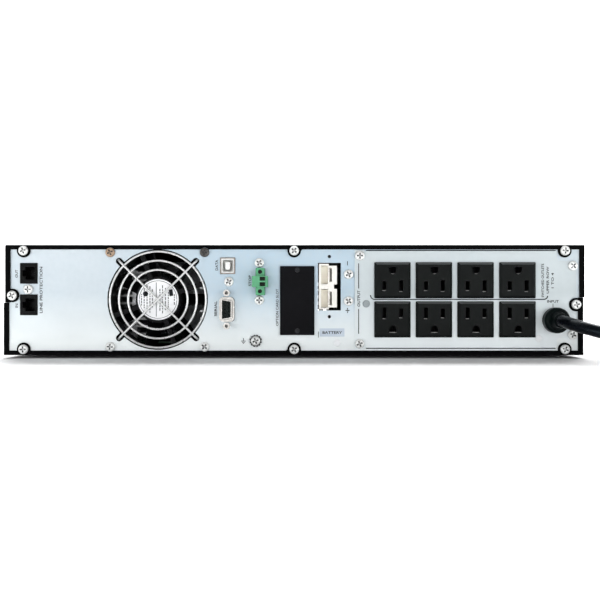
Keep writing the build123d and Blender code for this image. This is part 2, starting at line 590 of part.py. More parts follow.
# ---------------------------------------------------------------- external battery connector
BATT_MID_X = BATT_PORT[0] - 0.4
with BuildPart() as battery_connector:
    left_w, left_tall, right_w, right_tall = 7.4, 34.4, 6.2, 31.6
    conn_depth, rim, key_tall = 26.0, 1.2, 3.6
    left_proud, right_proud, cavity_depth = 1.0, 0.4, 18.0
    left_x = BATT_MID_X - left_w / 2 - 0.1
    right_x0 = BATT_MID_X + right_w / 2
    slab(back(left_proud), left_x, BATT_PORT[1], left_w, left_tall, conn_depth)
    slab(back(right_proud), right_x0 - 0.1, BATT_PORT[1], right_w, right_tall, conn_depth - 0.6)
    # two cavities on either side of the key
    cavity_tall = (left_tall - 2 * rim - key_tall) / 2
    for pole in (-1, 1):
        cavity_h = BATT_PORT[1] + pole * (key_tall + cavity_tall) / 2
        slab(back(left_proud), left_x + 0.5, cavity_h, left_w - rim - 1.0, cavity_tall, cavity_depth, Mode.SUBTRACT)
        slab(back(right_proud), right_x0 - 2.0, cavity_h, 2.4, cavity_tall - 4.0, cavity_depth - 2.0, Mode.SUBTRACT)
    slab(back(right_proud), right_x0 + right_w / 2 - 1.0, BATT_PORT[1], 2.6, 3.4, conn_depth, Mode.SUBTRACT)
save(battery_connector, "battery_connector")

with BuildPart() as battery_contacts:
    for pole in (-1, 1):
        contact_h = BATT_PORT[1] + pole * (key_tall + cavity_tall) / 2
        slab(back(-3.0), right_x0 - 2.6, contact_h, 1.1, cavity_tall - 4.6, 12.6)
save(battery_contacts, "battery_contacts")

# ---------------------------------------------------------------- outlets
OUTLET_PROUD = 3.0
OUTLET_DEPTH = 22.0
SLOT_DEPTH = 14.0
BLADE_PITCH = 12.7
BLADE_RISE = 4.5             # blade slots above the outlet's centre
GROUND_DROP = 7.4            # ground hole below the centre

with BuildPart() as outlet_template:
    body_size, bevel, slot_w, neutral_tall, hot_tall = OUTLET_SIZE - 1.6, 1.9, 3.1, 8.8, 7.3
    ground_r, ground_flat = 2.8, 2.6
    slab(back(SHEET + OUTLET_PROUD), 0, 0, OUTLET_SIZE, OUTLET_SIZE, OUTLET_PROUD)
    chamfer(outlet_template.faces().sort_by(Axis.Y)[0].edges(), bevel)
    fillet(outlet_template.edges().filter_by(Axis.Y), 0.8)
    slab(back(SHEET), 0, 0, body_size, body_size, OUTLET_DEPTH)
    with BuildSketch(back(SHEET + OUTLET_PROUD)):
        with Locations((-BLADE_PITCH / 2, BLADE_RISE)):
            Rectangle(slot_w, neutral_tall)
        with Locations((BLADE_PITCH / 2, BLADE_RISE)):
            Rectangle(slot_w, hot_tall)
        with Locations((0, -GROUND_DROP)):
            Circle(ground_r)
        with Locations((0, -GROUND_DROP)):
            Rectangle(2 * ground_r, ground_flat, align=(Align.CENTER, Align.MAX))
    extrude(amount=-SLOT_DEPTH, mode=Mode.SUBTRACT)

outlet_number = 0
for outlet_h, outlet_turn in ((OUTLET_TOP_H, 180), (OUTLET_LOW_H, 0)):
    for outlet_x in OUTLET_X:
        outlet_number += 1
        with BuildPart() as outlet:
            turned = outlet_template.part.rotate(Axis((0, 0, BASE_Z), (0, 1, 0)), outlet_turn)
            add(turned.moved(Location((outlet_x, 0, outlet_h))))
        save(outlet, f"outlet_{outlet_number}")

with BuildPart() as outlet_board:
    outlet_back = PANEL_Y - SHEET + OUTLET_DEPTH
    slab(across(outlet_back), BACK_CUT[0], BACK_CUT[1], BACK_CUT_W - 2, BACK_CUT_H, BOARD_T)
save(outlet_board, "outlet_board")

# ---------------------------------------------------------------- input cord
def cord_point(x, out, z):
    """A point of the cord: x, distance out from the rear panel, height above the resting surface."""
    return Vector(x, PANEL_Y - out, z)


CORD_R = CORD_D / 2
INLET_Z = BASE_Z + INLET[1]
COIL_OUT = 14.4                       # the coil's centre, out from the rear panel
COIL_TOP_R = COIL_MID_R + CORD_R      # outer turn of the upper layer
LAYER_RISE = 7.8                      # from the coil's lower layer to the upper
COIL_H = CORD_D + LAYER_RISE
TAIL_START, TAIL_END = 20.0, 98.0     # the free end, past the coil's centre

with BuildPart() as strain_relief:
    rim_r, rim_proud, nose_r, neck_r, nut_r = 9.7, 9.5, 6.8, 6.6, 9.0
    boot_base = SHEET
    rod(back(rim_proud), INLET[0], INLET[1], rim_r, rim_proud - boot_base)
    fillet(strain_relief.faces().sort_by(Axis.Y)[0].edges(), 3.0)
    with BuildSketch(back(rim_proud - 0.5)):
        with Locations(INLET):
            Circle(nose_r)
    extrude(amount=BOOT_OUT - rim_proud + 0.5, taper=12)
    rod(back(boot_base), INLET[0], INLET[1], neck_r, boot_base + SHEET + 6.0)
    rod(back(-SHEET), INLET[0], INLET[1], nut_r, 4.0)
save(strain_relief, "strain_relief")

cord_route = [
    cord_point(INLET[0], BOOT_OUT, INLET_Z),
    cord_point(198.2, 27.0, 27.5),
    cord_point(203.0, 39.5, 25.1),
    cord_point(212.4, 51.0, 21.9),
    cord_point(226.0, 59.8, 18.0),
    cord_point(243.0, 65.6, 13.3),
    cord_point(262.5, 69.2, 8.1),
    cord_point(282.0, 71.0, 5.2),
    cord_point(COIL_X - 1.0, COIL_OUT + COIL_MID_R + CORD_D, CORD_R),
]


def corner_radii(points):
    """The largest arcs that the runs allow: 0.45 of the shorter run over the tangent of half the turn."""
    radii = []
    for before, corner, after in zip(points, points[1:], points[2:]):
        into, out_of = corner - before, after - corner
        half_turn = radians(into.get_angle(out_of)) / 2
        radii.append(0.45 * min(into.length, out_of.length) / tan(half_turn))
    return radii


route_radii = corner_radii(cord_route)
print("cord radii", [round(radius, 1) for radius in route_radii])

with BuildPart() as input_cord:
    with BuildLine() as cord_path:
        FilletPolyline(*cord_route, radius=route_radii)
    with BuildSketch(Plane(cord_path.line @ 0, z_dir=cord_path.line % 0)):
        Circle(CORD_R)
    sweep()
    main_volume = input_cord.part.volume
    print("cord tube", main_volume, "against", sum(e.length for e in cord_path.edges()) * pi * CORD_R ** 2)
    # the free end runs from the coil's upper layer to the plug
    tail_start = Vector(COIL_X + COIL_TOP_R, PANEL_Y - COIL_OUT + TAIL_START, CORD_R + LAYER_RISE)
    tail_end = Vector(COIL_X + COIL_TOP_R, PANEL_Y - COIL_OUT + TAIL_END, CORD_R + LAYER_RISE)
    with BuildSketch(Plane(tail_start, z_dir=(0, 1, 0))):
        Circle(CORD_R)
    extrude(amount=tail_end.Y - tail_start.Y)
save(input_cord, "input_cord")

with BuildPart() as input_cord_coil:
    with BuildSketch(Plane.XY):
        with Locations((COIL_X, PANEL_Y - COIL_OUT)):
            Circle(COIL_MID_R + 1.5 * CORD_D)
            Circle(COIL_MID_R - 1.5 * CORD_D, mode=Mode.SUBTRACT)
    extrude(amount=COIL_H)
    fillet(input_cord_coil.edges().group_by(Axis.Z)[-1], 3.0)
save(input_cord_coil, "input_cord_coil")

PLUG_Z = CORD_R + LAYER_RISE
with BuildPart() as input_plug:
    relief_len, grip_len, plug_w, plug_tall = 26.0, 34.0, 26.0, 24.0
    plug_front = tail_end.Y + relief_len + grip_len
    with BuildSketch(Plane(tail_end, z_dir=(0, 1, 0))):
        Circle(CORD_R + 1.0)
    with BuildSketch(Plane(tail_end + Vector(0, relief_len, 0), z_dir=(0, 1, 0))):
        Circle(8.0)
    loft()
    with BuildSketch(Plane((tail_end.X, plug_front, PLUG_Z), x_dir=(1, 0, 0), z_dir=(0, -1, 0))):
        RectangleRounded(plug_w, plug_tall, 5.0)
    extrude(amount=grip_len)
    fillet(input_plug.faces().filter_by(Axis.Y).sort_by(Axis.Y)[0].edges(), 2.0)
save(input_plug, "input_plug")

with BuildPart() as plug_blades:
    blade_l, blade_w, blade_thick, pin_r, blade_up, pin_down = 16.0, 6.35, 1.5, 2.38, 4.0, 7.9
    face_plane = Plane((tail_end.X, plug_front + blade_l, PLUG_Z), x_dir=(1, 0, 0), z_dir=(0, -1, 0))
    with BuildSketch(face_plane):
        with Locations((-BLADE_PITCH / 2, blade_up), (BLADE_PITCH / 2, blade_up)):
            Rectangle(blade_thick, blade_w)
    extrude(amount=blade_l)
    with BuildSketch(face_plane.offset(-2.5)):
        with Locations((0, -pin_down)):
            Circle(pin_r)
    extrude(amount=blade_l + 2.5)
    fillet(plug_blades.faces().sort_by(Axis.Y)[-1].edges(), 1.6)
save(plug_blades, "plug_blades")

# ---------------------------------------------------------------- main board and power parts
def upright(x, y):
    """A plane on top of the main board, centred on a plan position."""
    return Plane.XY.offset(BASE_Z + BOARD_H + BOARD_T).shift_origin((x, y, BASE_Z + BOARD_H + BOARD_T))


with BuildPart() as main_board:
    with BuildSketch(level(BOARD_H)):
        with BuildLine():
            Polyline(
                (BOARD_LEFT, BOARD_REAR), (BOARD_RIGHT, BOARD_REAR), (BOARD_RIGHT, BOARD_FRONT),
                (BOARD_INNER, BOARD_FRONT), (BOARD_INNER, BOARD_STEP), (BOARD_LEFT, BOARD_STEP), close=True)
        make_face()
    extrude(amount=BOARD_T)
save(main_board, "main_board")

SINK_LEN, SINK_H, SINK_W = 110.0, 58.0, 34.0
SINKS = [(-130.0, REAR_Y + 100.0), (-60.0, REAR_Y + 100.0), (110.0, REAR_Y + 100.0)]
with BuildPart() as heat_sinks:
    fin_count, fin_t, web_t = 9, 1.6, 4.0
    for sink_x, sink_y in SINKS:
        with BuildSketch(upright(sink_x, sink_y)):
            Rectangle(web_t, SINK_LEN)
        extrude(amount=SINK_H)
        with BuildSketch(across(sink_y - SINK_LEN / 2)):
            with Locations((sink_x, BOARD_H + BOARD_T + SINK_H / 2 + 2)):
                with GridLocations(1, 6.2, 1, fin_count):
                    Rectangle(SINK_W, fin_t)
        extrude(amount=-SINK_LEN)
save(heat_sinks, "heat_sinks")

with BuildPart() as bulk_capacitors:
    can_r, can_h = 14.0, 50.0
    with BuildSketch(upright(165.0, REAR_Y + 100.0)):
        with GridLocations(31.0, 34.0, 2, 3):
            Circle(can_r)
    extrude(amount=can_h)
    fillet(bulk_capacitors.edges().group_by(Axis.Z)[-1], 1.2)
save(bulk_capacitors, "bulk_capacitors")

with BuildPart() as power_magnetics:
    core_w, core_d, core_h, coil_r, coil_len = 44.0, 50.0, 46.0, 25.0, 28.0
    for core_x, core_y in ((60.0, REAR_Y + 265.0), (60.0, REAR_Y + 330.0), (150.0, REAR_Y + 265.0)):
        with BuildSketch(upright(core_x, core_y)):
            RectangleRounded(core_w, core_d, 2.0)
        extrude(amount=core_h)
        with BuildSketch(upright(core_x, core_y).offset(core_h / 2 - coil_len / 2)):
            Circle(coil_r + 6)
            Rectangle(core_w - 6, 2 * coil_r + 16, mode=Mode.INTERSECT)
        extrude(amount=coil_len)
save(power_magnetics, "power_magnetics")

# ---------------------------------------------------------------- battery drawer and its bay
TRAY_X0, TRAY_X1 = -203.0, -7.0
TRAY_MID = (TRAY_X0 + TRAY_X1) / 2
TRAY_W = TRAY_X1 - TRAY_X0
TRAY_T = 1.2
RUNNER_T, RUNNER_W, RUNNER_X = 1.0, 8.0, 70.0  # two strips that the tray slides on, each side of its middle
TRAY_BASE = SHEET + RUNNER_T + 0.2
TRAY_H = 40.0
BLADE_REACH = 9.0                          # of the tray's blades into the dock
TRAY_BACK = FRONT_Y - 166.0
TRAY_FRONT = FRONT_Y + 0.5
BAY_H = 79.0
CELL_W, CELL_D, CELL_H = 94.0, 151.0, 65.0

with BuildPart() as bay_wall:
    wall_back = TRAY_BACK - 14.0
    wall_side = TRAY_X1 + 2.5
    slab(across(wall_back), (-HALF_W + 4 + wall_side) / 2, SHEET + BAY_H / 2, wall_side + HALF_W - 4, BAY_H, SHEET)
    slab(across(wall_back), wall_side - SHEET / 2, SHEET + BAY_H / 2, SHEET, BAY_H, FRONT_Y - SHEET - wall_back)
    for side in (-1, 1):
        slab(across(wall_back), TRAY_MID + side * RUNNER_X, SHEET + RUNNER_T / 2, RUNNER_W, RUNNER_T,
             FRONT_Y - 2 * SHEET - wall_back)
save(bay_wall, "bay_wall")

DOCK = (TRAY_MID, 22.0)
DOCK_DEPTH, POLE_X = 10.0, 11.0
with BuildPart() as battery_dock:
    dock_w, dock_tall = 44.0, 20.0
    slab(across(wall_back + SHEET), *DOCK, dock_w, dock_tall, DOCK_DEPTH)
    for pole in (-1, 1):
        slab(across(wall_back + SHEET + 1.0), DOCK[0] + pole * POLE_X, DOCK[1], 4.0, 11.0, DOCK_DEPTH - 1.0,
             Mode.SUBTRACT)
save(battery_dock, "battery_dock")

with BuildPart() as battery_tray:
    slab(across(TRAY_BACK), TRAY_MID, TRAY_BASE + TRAY_T / 2, TRAY_W, TRAY_T, TRAY_FRONT - TRAY_BACK)
    for side in (-1, 1):
        wall_x = TRAY_MID + side * (TRAY_W - TRAY_T) / 2
        slab(across(TRAY_BACK), wall_x, TRAY_BASE + TRAY_H / 2, TRAY_T, TRAY_H, TRAY_FRONT - TRAY_BACK)
    slab(across(TRAY_BACK), TRAY_MID, TRAY_BASE + TRAY_H / 2, TRAY_W, TRAY_H, TRAY_T)
    slab(across(TRAY_FRONT - TRAY_T), TRAY_MID, TRAY_BASE + BAY_H / 2 - 2, TRAY_W, BAY_H - 4, TRAY_T)
    # two blades that reach back into the dock
    for pole in (-1, 1):
        slab(across(TRAY_BACK - BLADE_REACH), DOCK[0] + pole * POLE_X, DOCK[1], 2.0, 8.0, BLADE_REACH)
save(battery_tray, "battery_tray")

with BuildPart() as batteries:
    cell_y = TRAY_BACK + TRAY_T + 3.0
    for side in (-1, 1):
        cell_x = TRAY_MID + side * (CELL_W / 2 + 1.5)
        cell_base = TRAY_BASE + TRAY_T
        slab(across(cell_y), cell_x, cell_base + CELL_H / 2, CELL_W, CELL_H, CELL_D)
    fillet(batteries.edges().filter_by(Axis.Y), 2.0)
    for side in (-1, 1):
        for terminal in (-1, 1):
            slab(across(cell_y + CELL_D), TRAY_MID + side * (CELL_W / 2 + 1.5) + terminal * 30, 55.0, 6.4, 0.8, 5.0)
save(batteries, "batteries")

# ---------------------------------------------------------------- front
BEZEL_LOW = MID_H - BEZEL_H / 2
DOOR_X0, DOOR_X1 = -207.0, -3.0
DOOR_MID = (DOOR_X0 + DOOR_X1) / 2
DOOR_W = DOOR_X1 - DOOR_X0
DOOR_LOW, DOOR_HIGH = 2.4, 81.1
DOOR_TALL = DOOR_HIGH - DOOR_LOW
DOOR_H = (DOOR_LOW + DOOR_HIGH) / 2
DOOR_GAP = 0.6
DISPLAY = (118.0, MID_H)
HUB_RADIUS = 25.0
HUB_GAP = 0.4

with BuildPart() as front_plate:
    with BuildSketch(across(FRONT_Y - SHEET)):
        with Locations((0, MID_H)):
            Rectangle(CHASSIS_W - 4.4, CHASSIS_H - 2.2)
        with Locations((TRAY_MID, 0)):
            Rectangle(TRAY_W + 1.6, BAY_H + 0.6, align=(Align.CENTER, Align.MIN), mode=Mode.SUBTRACT)
        with Locations(DISPLAY):
            Circle(12.0, mode=Mode.SUBTRACT)
        with Locations((35.0, MID_H), (195.0, MID_H)):
            with GridLocations(9.0, 18.0, 3, 3):
                SlotOverall(14.0, 4.0, rotation=90, mode=Mode.SUBTRACT)
    extrude(amount=-SHEET)
save(front_plate, "front_plate")

with BuildPart() as bezel:
    bezel_t, vent_pitch = 2.5, 8.0
    slab(across(FRONT_Y), 0, MID_H, CHASSIS_W, BEZEL_H, BEZEL_D)
    fillet(bezel.edges().filter_by(Axis.Y), 3.0)
    fillet(bezel.faces().sort_by(Axis.Y)[-1].edges(), 2.0)
    slab(across(FRONT_Y), 0, MID_H, CHASSIS_W - 2 * bezel_t, BEZEL_H - 2 * bezel_t, BEZEL_D - bezel_t, Mode.SUBTRACT)
    slab(across(FRONT_Y), DOOR_MID, DOOR_H, DOOR_W + 2 * DOOR_GAP, DOOR_TALL + 2 * DOOR_GAP, BEZEL_D, Mode.SUBTRACT)
    rod(across(FRONT_Y), *DISPLAY, HUB_RADIUS + HUB_GAP, BEZEL_D, Mode.SUBTRACT)
    # louvres on both sides of the display
    with BuildSketch(across(FRONT_Y)):
        with Locations((45.0, MID_H), (186.0, MID_H)):
            with GridLocations(1, vent_pitch, 1, 8):
                SlotOverall(48.0, 4.2)
    extrude(amount=-BEZEL_D, mode=Mode.SUBTRACT)
    # snap hooks that hold the bezel against the front plate
    for hook_x in (8.0, 80.0, 210.0):
        for hook_h in (BEZEL_LOW + bezel_t + 1.0, BEZEL_LOW + BEZEL_H - bezel_t - 1.0):
            slab(across(FRONT_Y), hook_x, hook_h, 8.0, 2.0, BEZEL_D - bezel_t)
save(bezel, "bezel")

with BuildPart() as battery_door:
    door_t, pull_w, pull_tall, pull_depth = 3.0, 30.0, 44.0, 16.0
    door_back = TRAY_FRONT
    slab(across(door_back), DOOR_MID, DOOR_H, DOOR_W, DOOR_TALL, BEZEL_Y - door_back)
    fillet(battery_door.edges().filter_by(Axis.Y), 1.5)
    fillet(battery_door.faces().sort_by(Axis.Y)[-1].edges(), 1.2)
    slab(across(door_back), DOOR_MID - 60, DOOR_H, 80.0, DOOR_TALL - 8, BEZEL_Y - door_back - door_t, Mode.SUBTRACT)
    slab(across(door_back), DOOR_MID + 60, DOOR_H, 76.0, DOOR_TALL - 8, BEZEL_Y - door_back - door_t, Mode.SUBTRACT)
    slab(across(BEZEL_Y - pull_depth), DOOR_MID, DOOR_H, pull_w, pull_tall, pull_depth, Mode.SUBTRACT)
save(battery_door, "battery_door")

with BuildPart() as display_module:
    frame_size, ring_r, ring_t, rear_gap = 60.0, 28.0, 2.0, 0.4
    window_w, window_tall, window_t = 44.0, 24.0, 1.5
    WINDOW = (DISPLAY[0], DISPLAY[1] + 10.0)
    BUTTONS = {"on": (DISPLAY[0] - 14.0, DISPLAY[1] - 12.0), "select": (DISPLAY[0], DISPLAY[1] - 12.0),
               "off": (DISPLAY[0] + 14.0, DISPLAY[1] - 12.0)}
    button_r, button_gap, button_len = 4.5, 0.3, 5.0
    face_y = BEZEL_Y + DISPLAY_PROUD
    with BuildSketch(across(BEZEL_Y + rear_gap)):
        with Locations(DISPLAY):
            RectangleRounded(frame_size, frame_size, 6.0)
    extrude(amount=-(DISPLAY_PROUD - rear_gap))
    fillet(display_module.faces().sort_by(Axis.Y)[-1].edges(), 1.0)
    # hub through the bezel and the ring that keeps it there
    rod(across(BEZEL_Y - bezel_t - rear_gap - ring_t), *DISPLAY, HUB_RADIUS, bezel_t + ring_t + 2 * rear_gap)
    rod(across(BEZEL_Y - bezel_t - rear_gap - ring_t), *DISPLAY, ring_r, ring_t)
    slab(across(face_y - window_t), *WINDOW, window_w, window_tall, window_t, Mode.SUBTRACT)
    slab(across(face_y - 5.5), *WINDOW, window_w - 8, window_tall - 8, 5.5, Mode.SUBTRACT)
    for button_x, button_h in BUTTONS.values():
        rod(across(face_y - button_len - 1.2), button_x, button_h, button_r + button_gap, button_len + 1.2, Mode.SUBTRACT)
save(display_module, "display_module")

with BuildPart() as display_window:
    slab(across(face_y - window_t), *WINDOW, window_w - 0.2, window_tall - 0.2, window_t - 0.3)
save(display_window, "display_window")

for button_name, (button_x, button_h) in BUTTONS.items():
    with BuildPart() as button:
        rod(across(face_y - button_len + BUTTON_PROUD), button_x, button_h, button_r, button_len)
        fillet(button.faces().sort_by(Axis.Y)[-1].edges(), 0.6)
    save(button, f"button_{button_name}")

# ---------------------------------------------------------------- rack ears and feet
EAR_T = 2.0
EAR_PLATE_Y = FRONT_Y - EAR_T
EAR_FOOT = 34.0
EAR_BOLT_PITCH = (20.0, 50.0)

with BuildPart() as rack_ears:
    for side in (-1, 1):
        plate_w = RACK_W / 2 - HALF_W
        slab(across(EAR_PLATE_Y), side * (HALF_W + plate_w / 2), MID_H, plate_w, BEZEL_H, EAR_T)
        slab(across(FRONT_Y - EAR_FOOT), side * (HALF_W + EAR_T / 2), MID_H, EAR_T, BEZEL_H - 12, EAR_FOOT)
        with BuildSketch(across(EAR_PLATE_Y)):
            with Locations((side * RACK_SLOT_PITCH_X / 2, MID_H)):
                with GridLocations(1, RACK_SLOT_PITCH_Z, 1, 2):
                    SlotOverall(10.0, 6.8)
        extrude(amount=-EAR_T, mode=Mode.SUBTRACT)
    outer_edges = rack_ears.edges().filter_by(Axis.Y).filter_by(lambda e: abs(e.center().X) > RACK_W / 2 - 0.1)
    fillet(outer_edges, 2.0)
save(rack_ears, "rack_ears")

with BuildPart() as rack_ear_screws:
    for side in (-1, 1):
        with BuildSketch(Plane((side * (HALF_W + EAR_T + 1.6), FRONT_Y - 20.0, BASE_Z + MID_H), x_dir=(0, 1, 0),
                               z_dir=(side, 0, 0))):
            with GridLocations(*EAR_BOLT_PITCH, 2, 2):
                Circle(4.0)
        extrude(amount=-1.6)
    fillet(rack_ear_screws.edges().filter_by(lambda e: abs(e.center().X) > HALF_W + EAR_T + 1.5), 0.9)
save(rack_ear_screws, "rack_ear_screws")

with BuildPart() as feet:
    foot_r, foot_x, foot_y = 9.0, 190.0, 160.0
    with BuildSketch(Plane.XY):
        with GridLocations(2 * foot_x, 2 * foot_y, 2, 2):
            Circle(foot_r)
    extrude(amount=BASE_Z)
    fillet(feet.edges().group_by(Axis.Z)[0], 0.6)
save(feet, "feet")
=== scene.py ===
"""Looks of the rackmount UPS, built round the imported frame.  Metres, connector side towards -Y."""
import math
import random

import bmesh
import bpy
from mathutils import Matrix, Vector


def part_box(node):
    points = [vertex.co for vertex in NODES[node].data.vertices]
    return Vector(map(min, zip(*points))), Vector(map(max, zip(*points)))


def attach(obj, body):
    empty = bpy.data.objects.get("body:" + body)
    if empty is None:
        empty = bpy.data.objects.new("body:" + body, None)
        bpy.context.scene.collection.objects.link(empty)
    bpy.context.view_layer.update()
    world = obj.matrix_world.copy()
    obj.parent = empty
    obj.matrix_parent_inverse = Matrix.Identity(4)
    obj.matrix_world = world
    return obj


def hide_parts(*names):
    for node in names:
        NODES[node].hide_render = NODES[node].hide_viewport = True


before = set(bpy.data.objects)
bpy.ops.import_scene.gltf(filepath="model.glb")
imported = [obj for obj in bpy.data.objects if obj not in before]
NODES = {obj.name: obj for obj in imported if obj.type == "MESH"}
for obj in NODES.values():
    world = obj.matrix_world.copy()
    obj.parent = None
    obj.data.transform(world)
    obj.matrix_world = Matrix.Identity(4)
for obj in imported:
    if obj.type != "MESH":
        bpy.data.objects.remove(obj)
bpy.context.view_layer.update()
random.seed(7)

MM = 0.001

# ---------------------------------------------------------------- places read from the frame
PANEL_THICK = 1.0 * MM
plate_low, plate_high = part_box("outlet_panel")
BASE_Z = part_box("lower_cover")[0].z               # underside of the chassis
CHASSIS_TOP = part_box("upper_cover")[1].z
MID_Z = (BASE_Z + CHASSIS_TOP) / 2
PANEL_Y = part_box("rear_panel")[1].y - PANEL_THICK  # outer face of the rear panel
PLATE_Y = plate_low.y                             # outer face of the outlet plate
SKIN = 0.12 * MM                                  # how far printed marks stand proud


def node_centre(name):
    low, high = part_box(name)
    return (low + high) / 2


def place_of(name):
    """A node's centre in millimetres across and above the chassis underside."""
    centre = node_centre(name)
    return centre.x / MM, (centre.z - BASE_Z) / MM


def at(x, height, y):
    """A point given in millimetres across and above the chassis underside, at depth y in metres."""
    return Vector((x * MM, y, BASE_Z + height * MM))


# ---------------------------------------------------------------- camera, light and floor
CAMERA_DISTANCE = 0.600
CAMERA_X = 4.4 * MM
FRAME_WIDTH = 455.2 * MM                          # width seen at the rear panel
SENSOR = 36.0


def make_camera():
    data = bpy.data.cameras.new("camera")
    data.sensor_width = SENSOR
    data.lens = SENSOR * CAMERA_DISTANCE / FRAME_WIDTH
    data.clip_start = 0.01
    camera = bpy.data.objects.new("camera", data)
    camera.location = (CAMERA_X, PANEL_Y - CAMERA_DISTANCE, MID_Z)
    camera.rotation_euler = (math.radians(90), 0, 0)
    bpy.context.scene.collection.objects.link(camera)
    bpy.context.scene.camera = camera


def area_light(name, place, target, size, power, tint=(1, 1, 1)):
    data = bpy.data.lights.new(name, "AREA")
    data.shape = "RECTANGLE"
    data.size, data.size_y = size
    data.energy = power
    data.color = tint
    lamp = bpy.data.objects.new(name, data)
    lamp.location = place
    lamp.rotation_euler = (Vector(target) - Vector(place)).to_track_quat("-Z", "Y").to_euler()
    bpy.context.scene.collection.objects.link(lamp)


def make_lights():
    target = (0, PANEL_Y, MID_Z)
    cool = (0.93, 0.975, 1.0)
    area_light("key", (-1.7, PANEL_Y - 1.05, 0.16), target, (1.2, 0.30), 4.5, cool)
    area_light("fill", (1.7, PANEL_Y - 1.15, 0.16), target, (1.2, 0.30), 4.5, cool)
    area_light("low_left", (-0.75, PANEL_Y - 0.95, 0.035), (-0.1, PANEL_Y, 0.01), (0.9, 0.06), 1.3, cool)
    area_light("low_right", (0.75, PANEL_Y - 0.95, 0.035), (0.1, PANEL_Y, 0.01), (0.9, 0.06), 1.6, cool)
    area_light("top", (0.0, 1.35, 1.75), (0, -0.1, 0), (2.6, 1.2), 95)


def make_world():
    """A soft overhead glow, and a pale band at the horizon so that every view has a pale background."""
    world = bpy.data.worlds.new("studio")
    world.use_nodes = True
    tree = world.node_tree
    coords = tree.nodes.new("ShaderNodeTexCoord")
    split = tree.nodes.new("ShaderNodeSeparateXYZ")
    total = tree.nodes.new("ShaderNodeMath")
    total.operation = "ADD"
    tree.links.new(coords.outputs["Generated"], split.inputs["Vector"])
    for socket, span, strengths in ((0, (0.0, 1.0), (0.10, 0.46)), (1, (0.10, 0.34), (0.90, 0.0))):
        ramp = tree.nodes.new("ShaderNodeMapRange")
        ramp.inputs["From Min"].default_value, ramp.inputs["From Max"].default_value = span
        ramp.inputs["To Min"].default_value, ramp.inputs["To Max"].default_value = strengths
        tree.links.new(split.outputs["Z"], ramp.inputs["Value"])
        tree.links.new(ramp.outputs["Result"], total.inputs[socket])
    tree.links.new(total.outputs["Value"], tree.nodes["Background"].inputs["Strength"])
    tree.nodes["Background"].inputs["Color"].default_value = (1, 1, 1, 1)
    bpy.context.scene.world = world
    bpy.context.scene.view_settings.view_transform = "Standard"


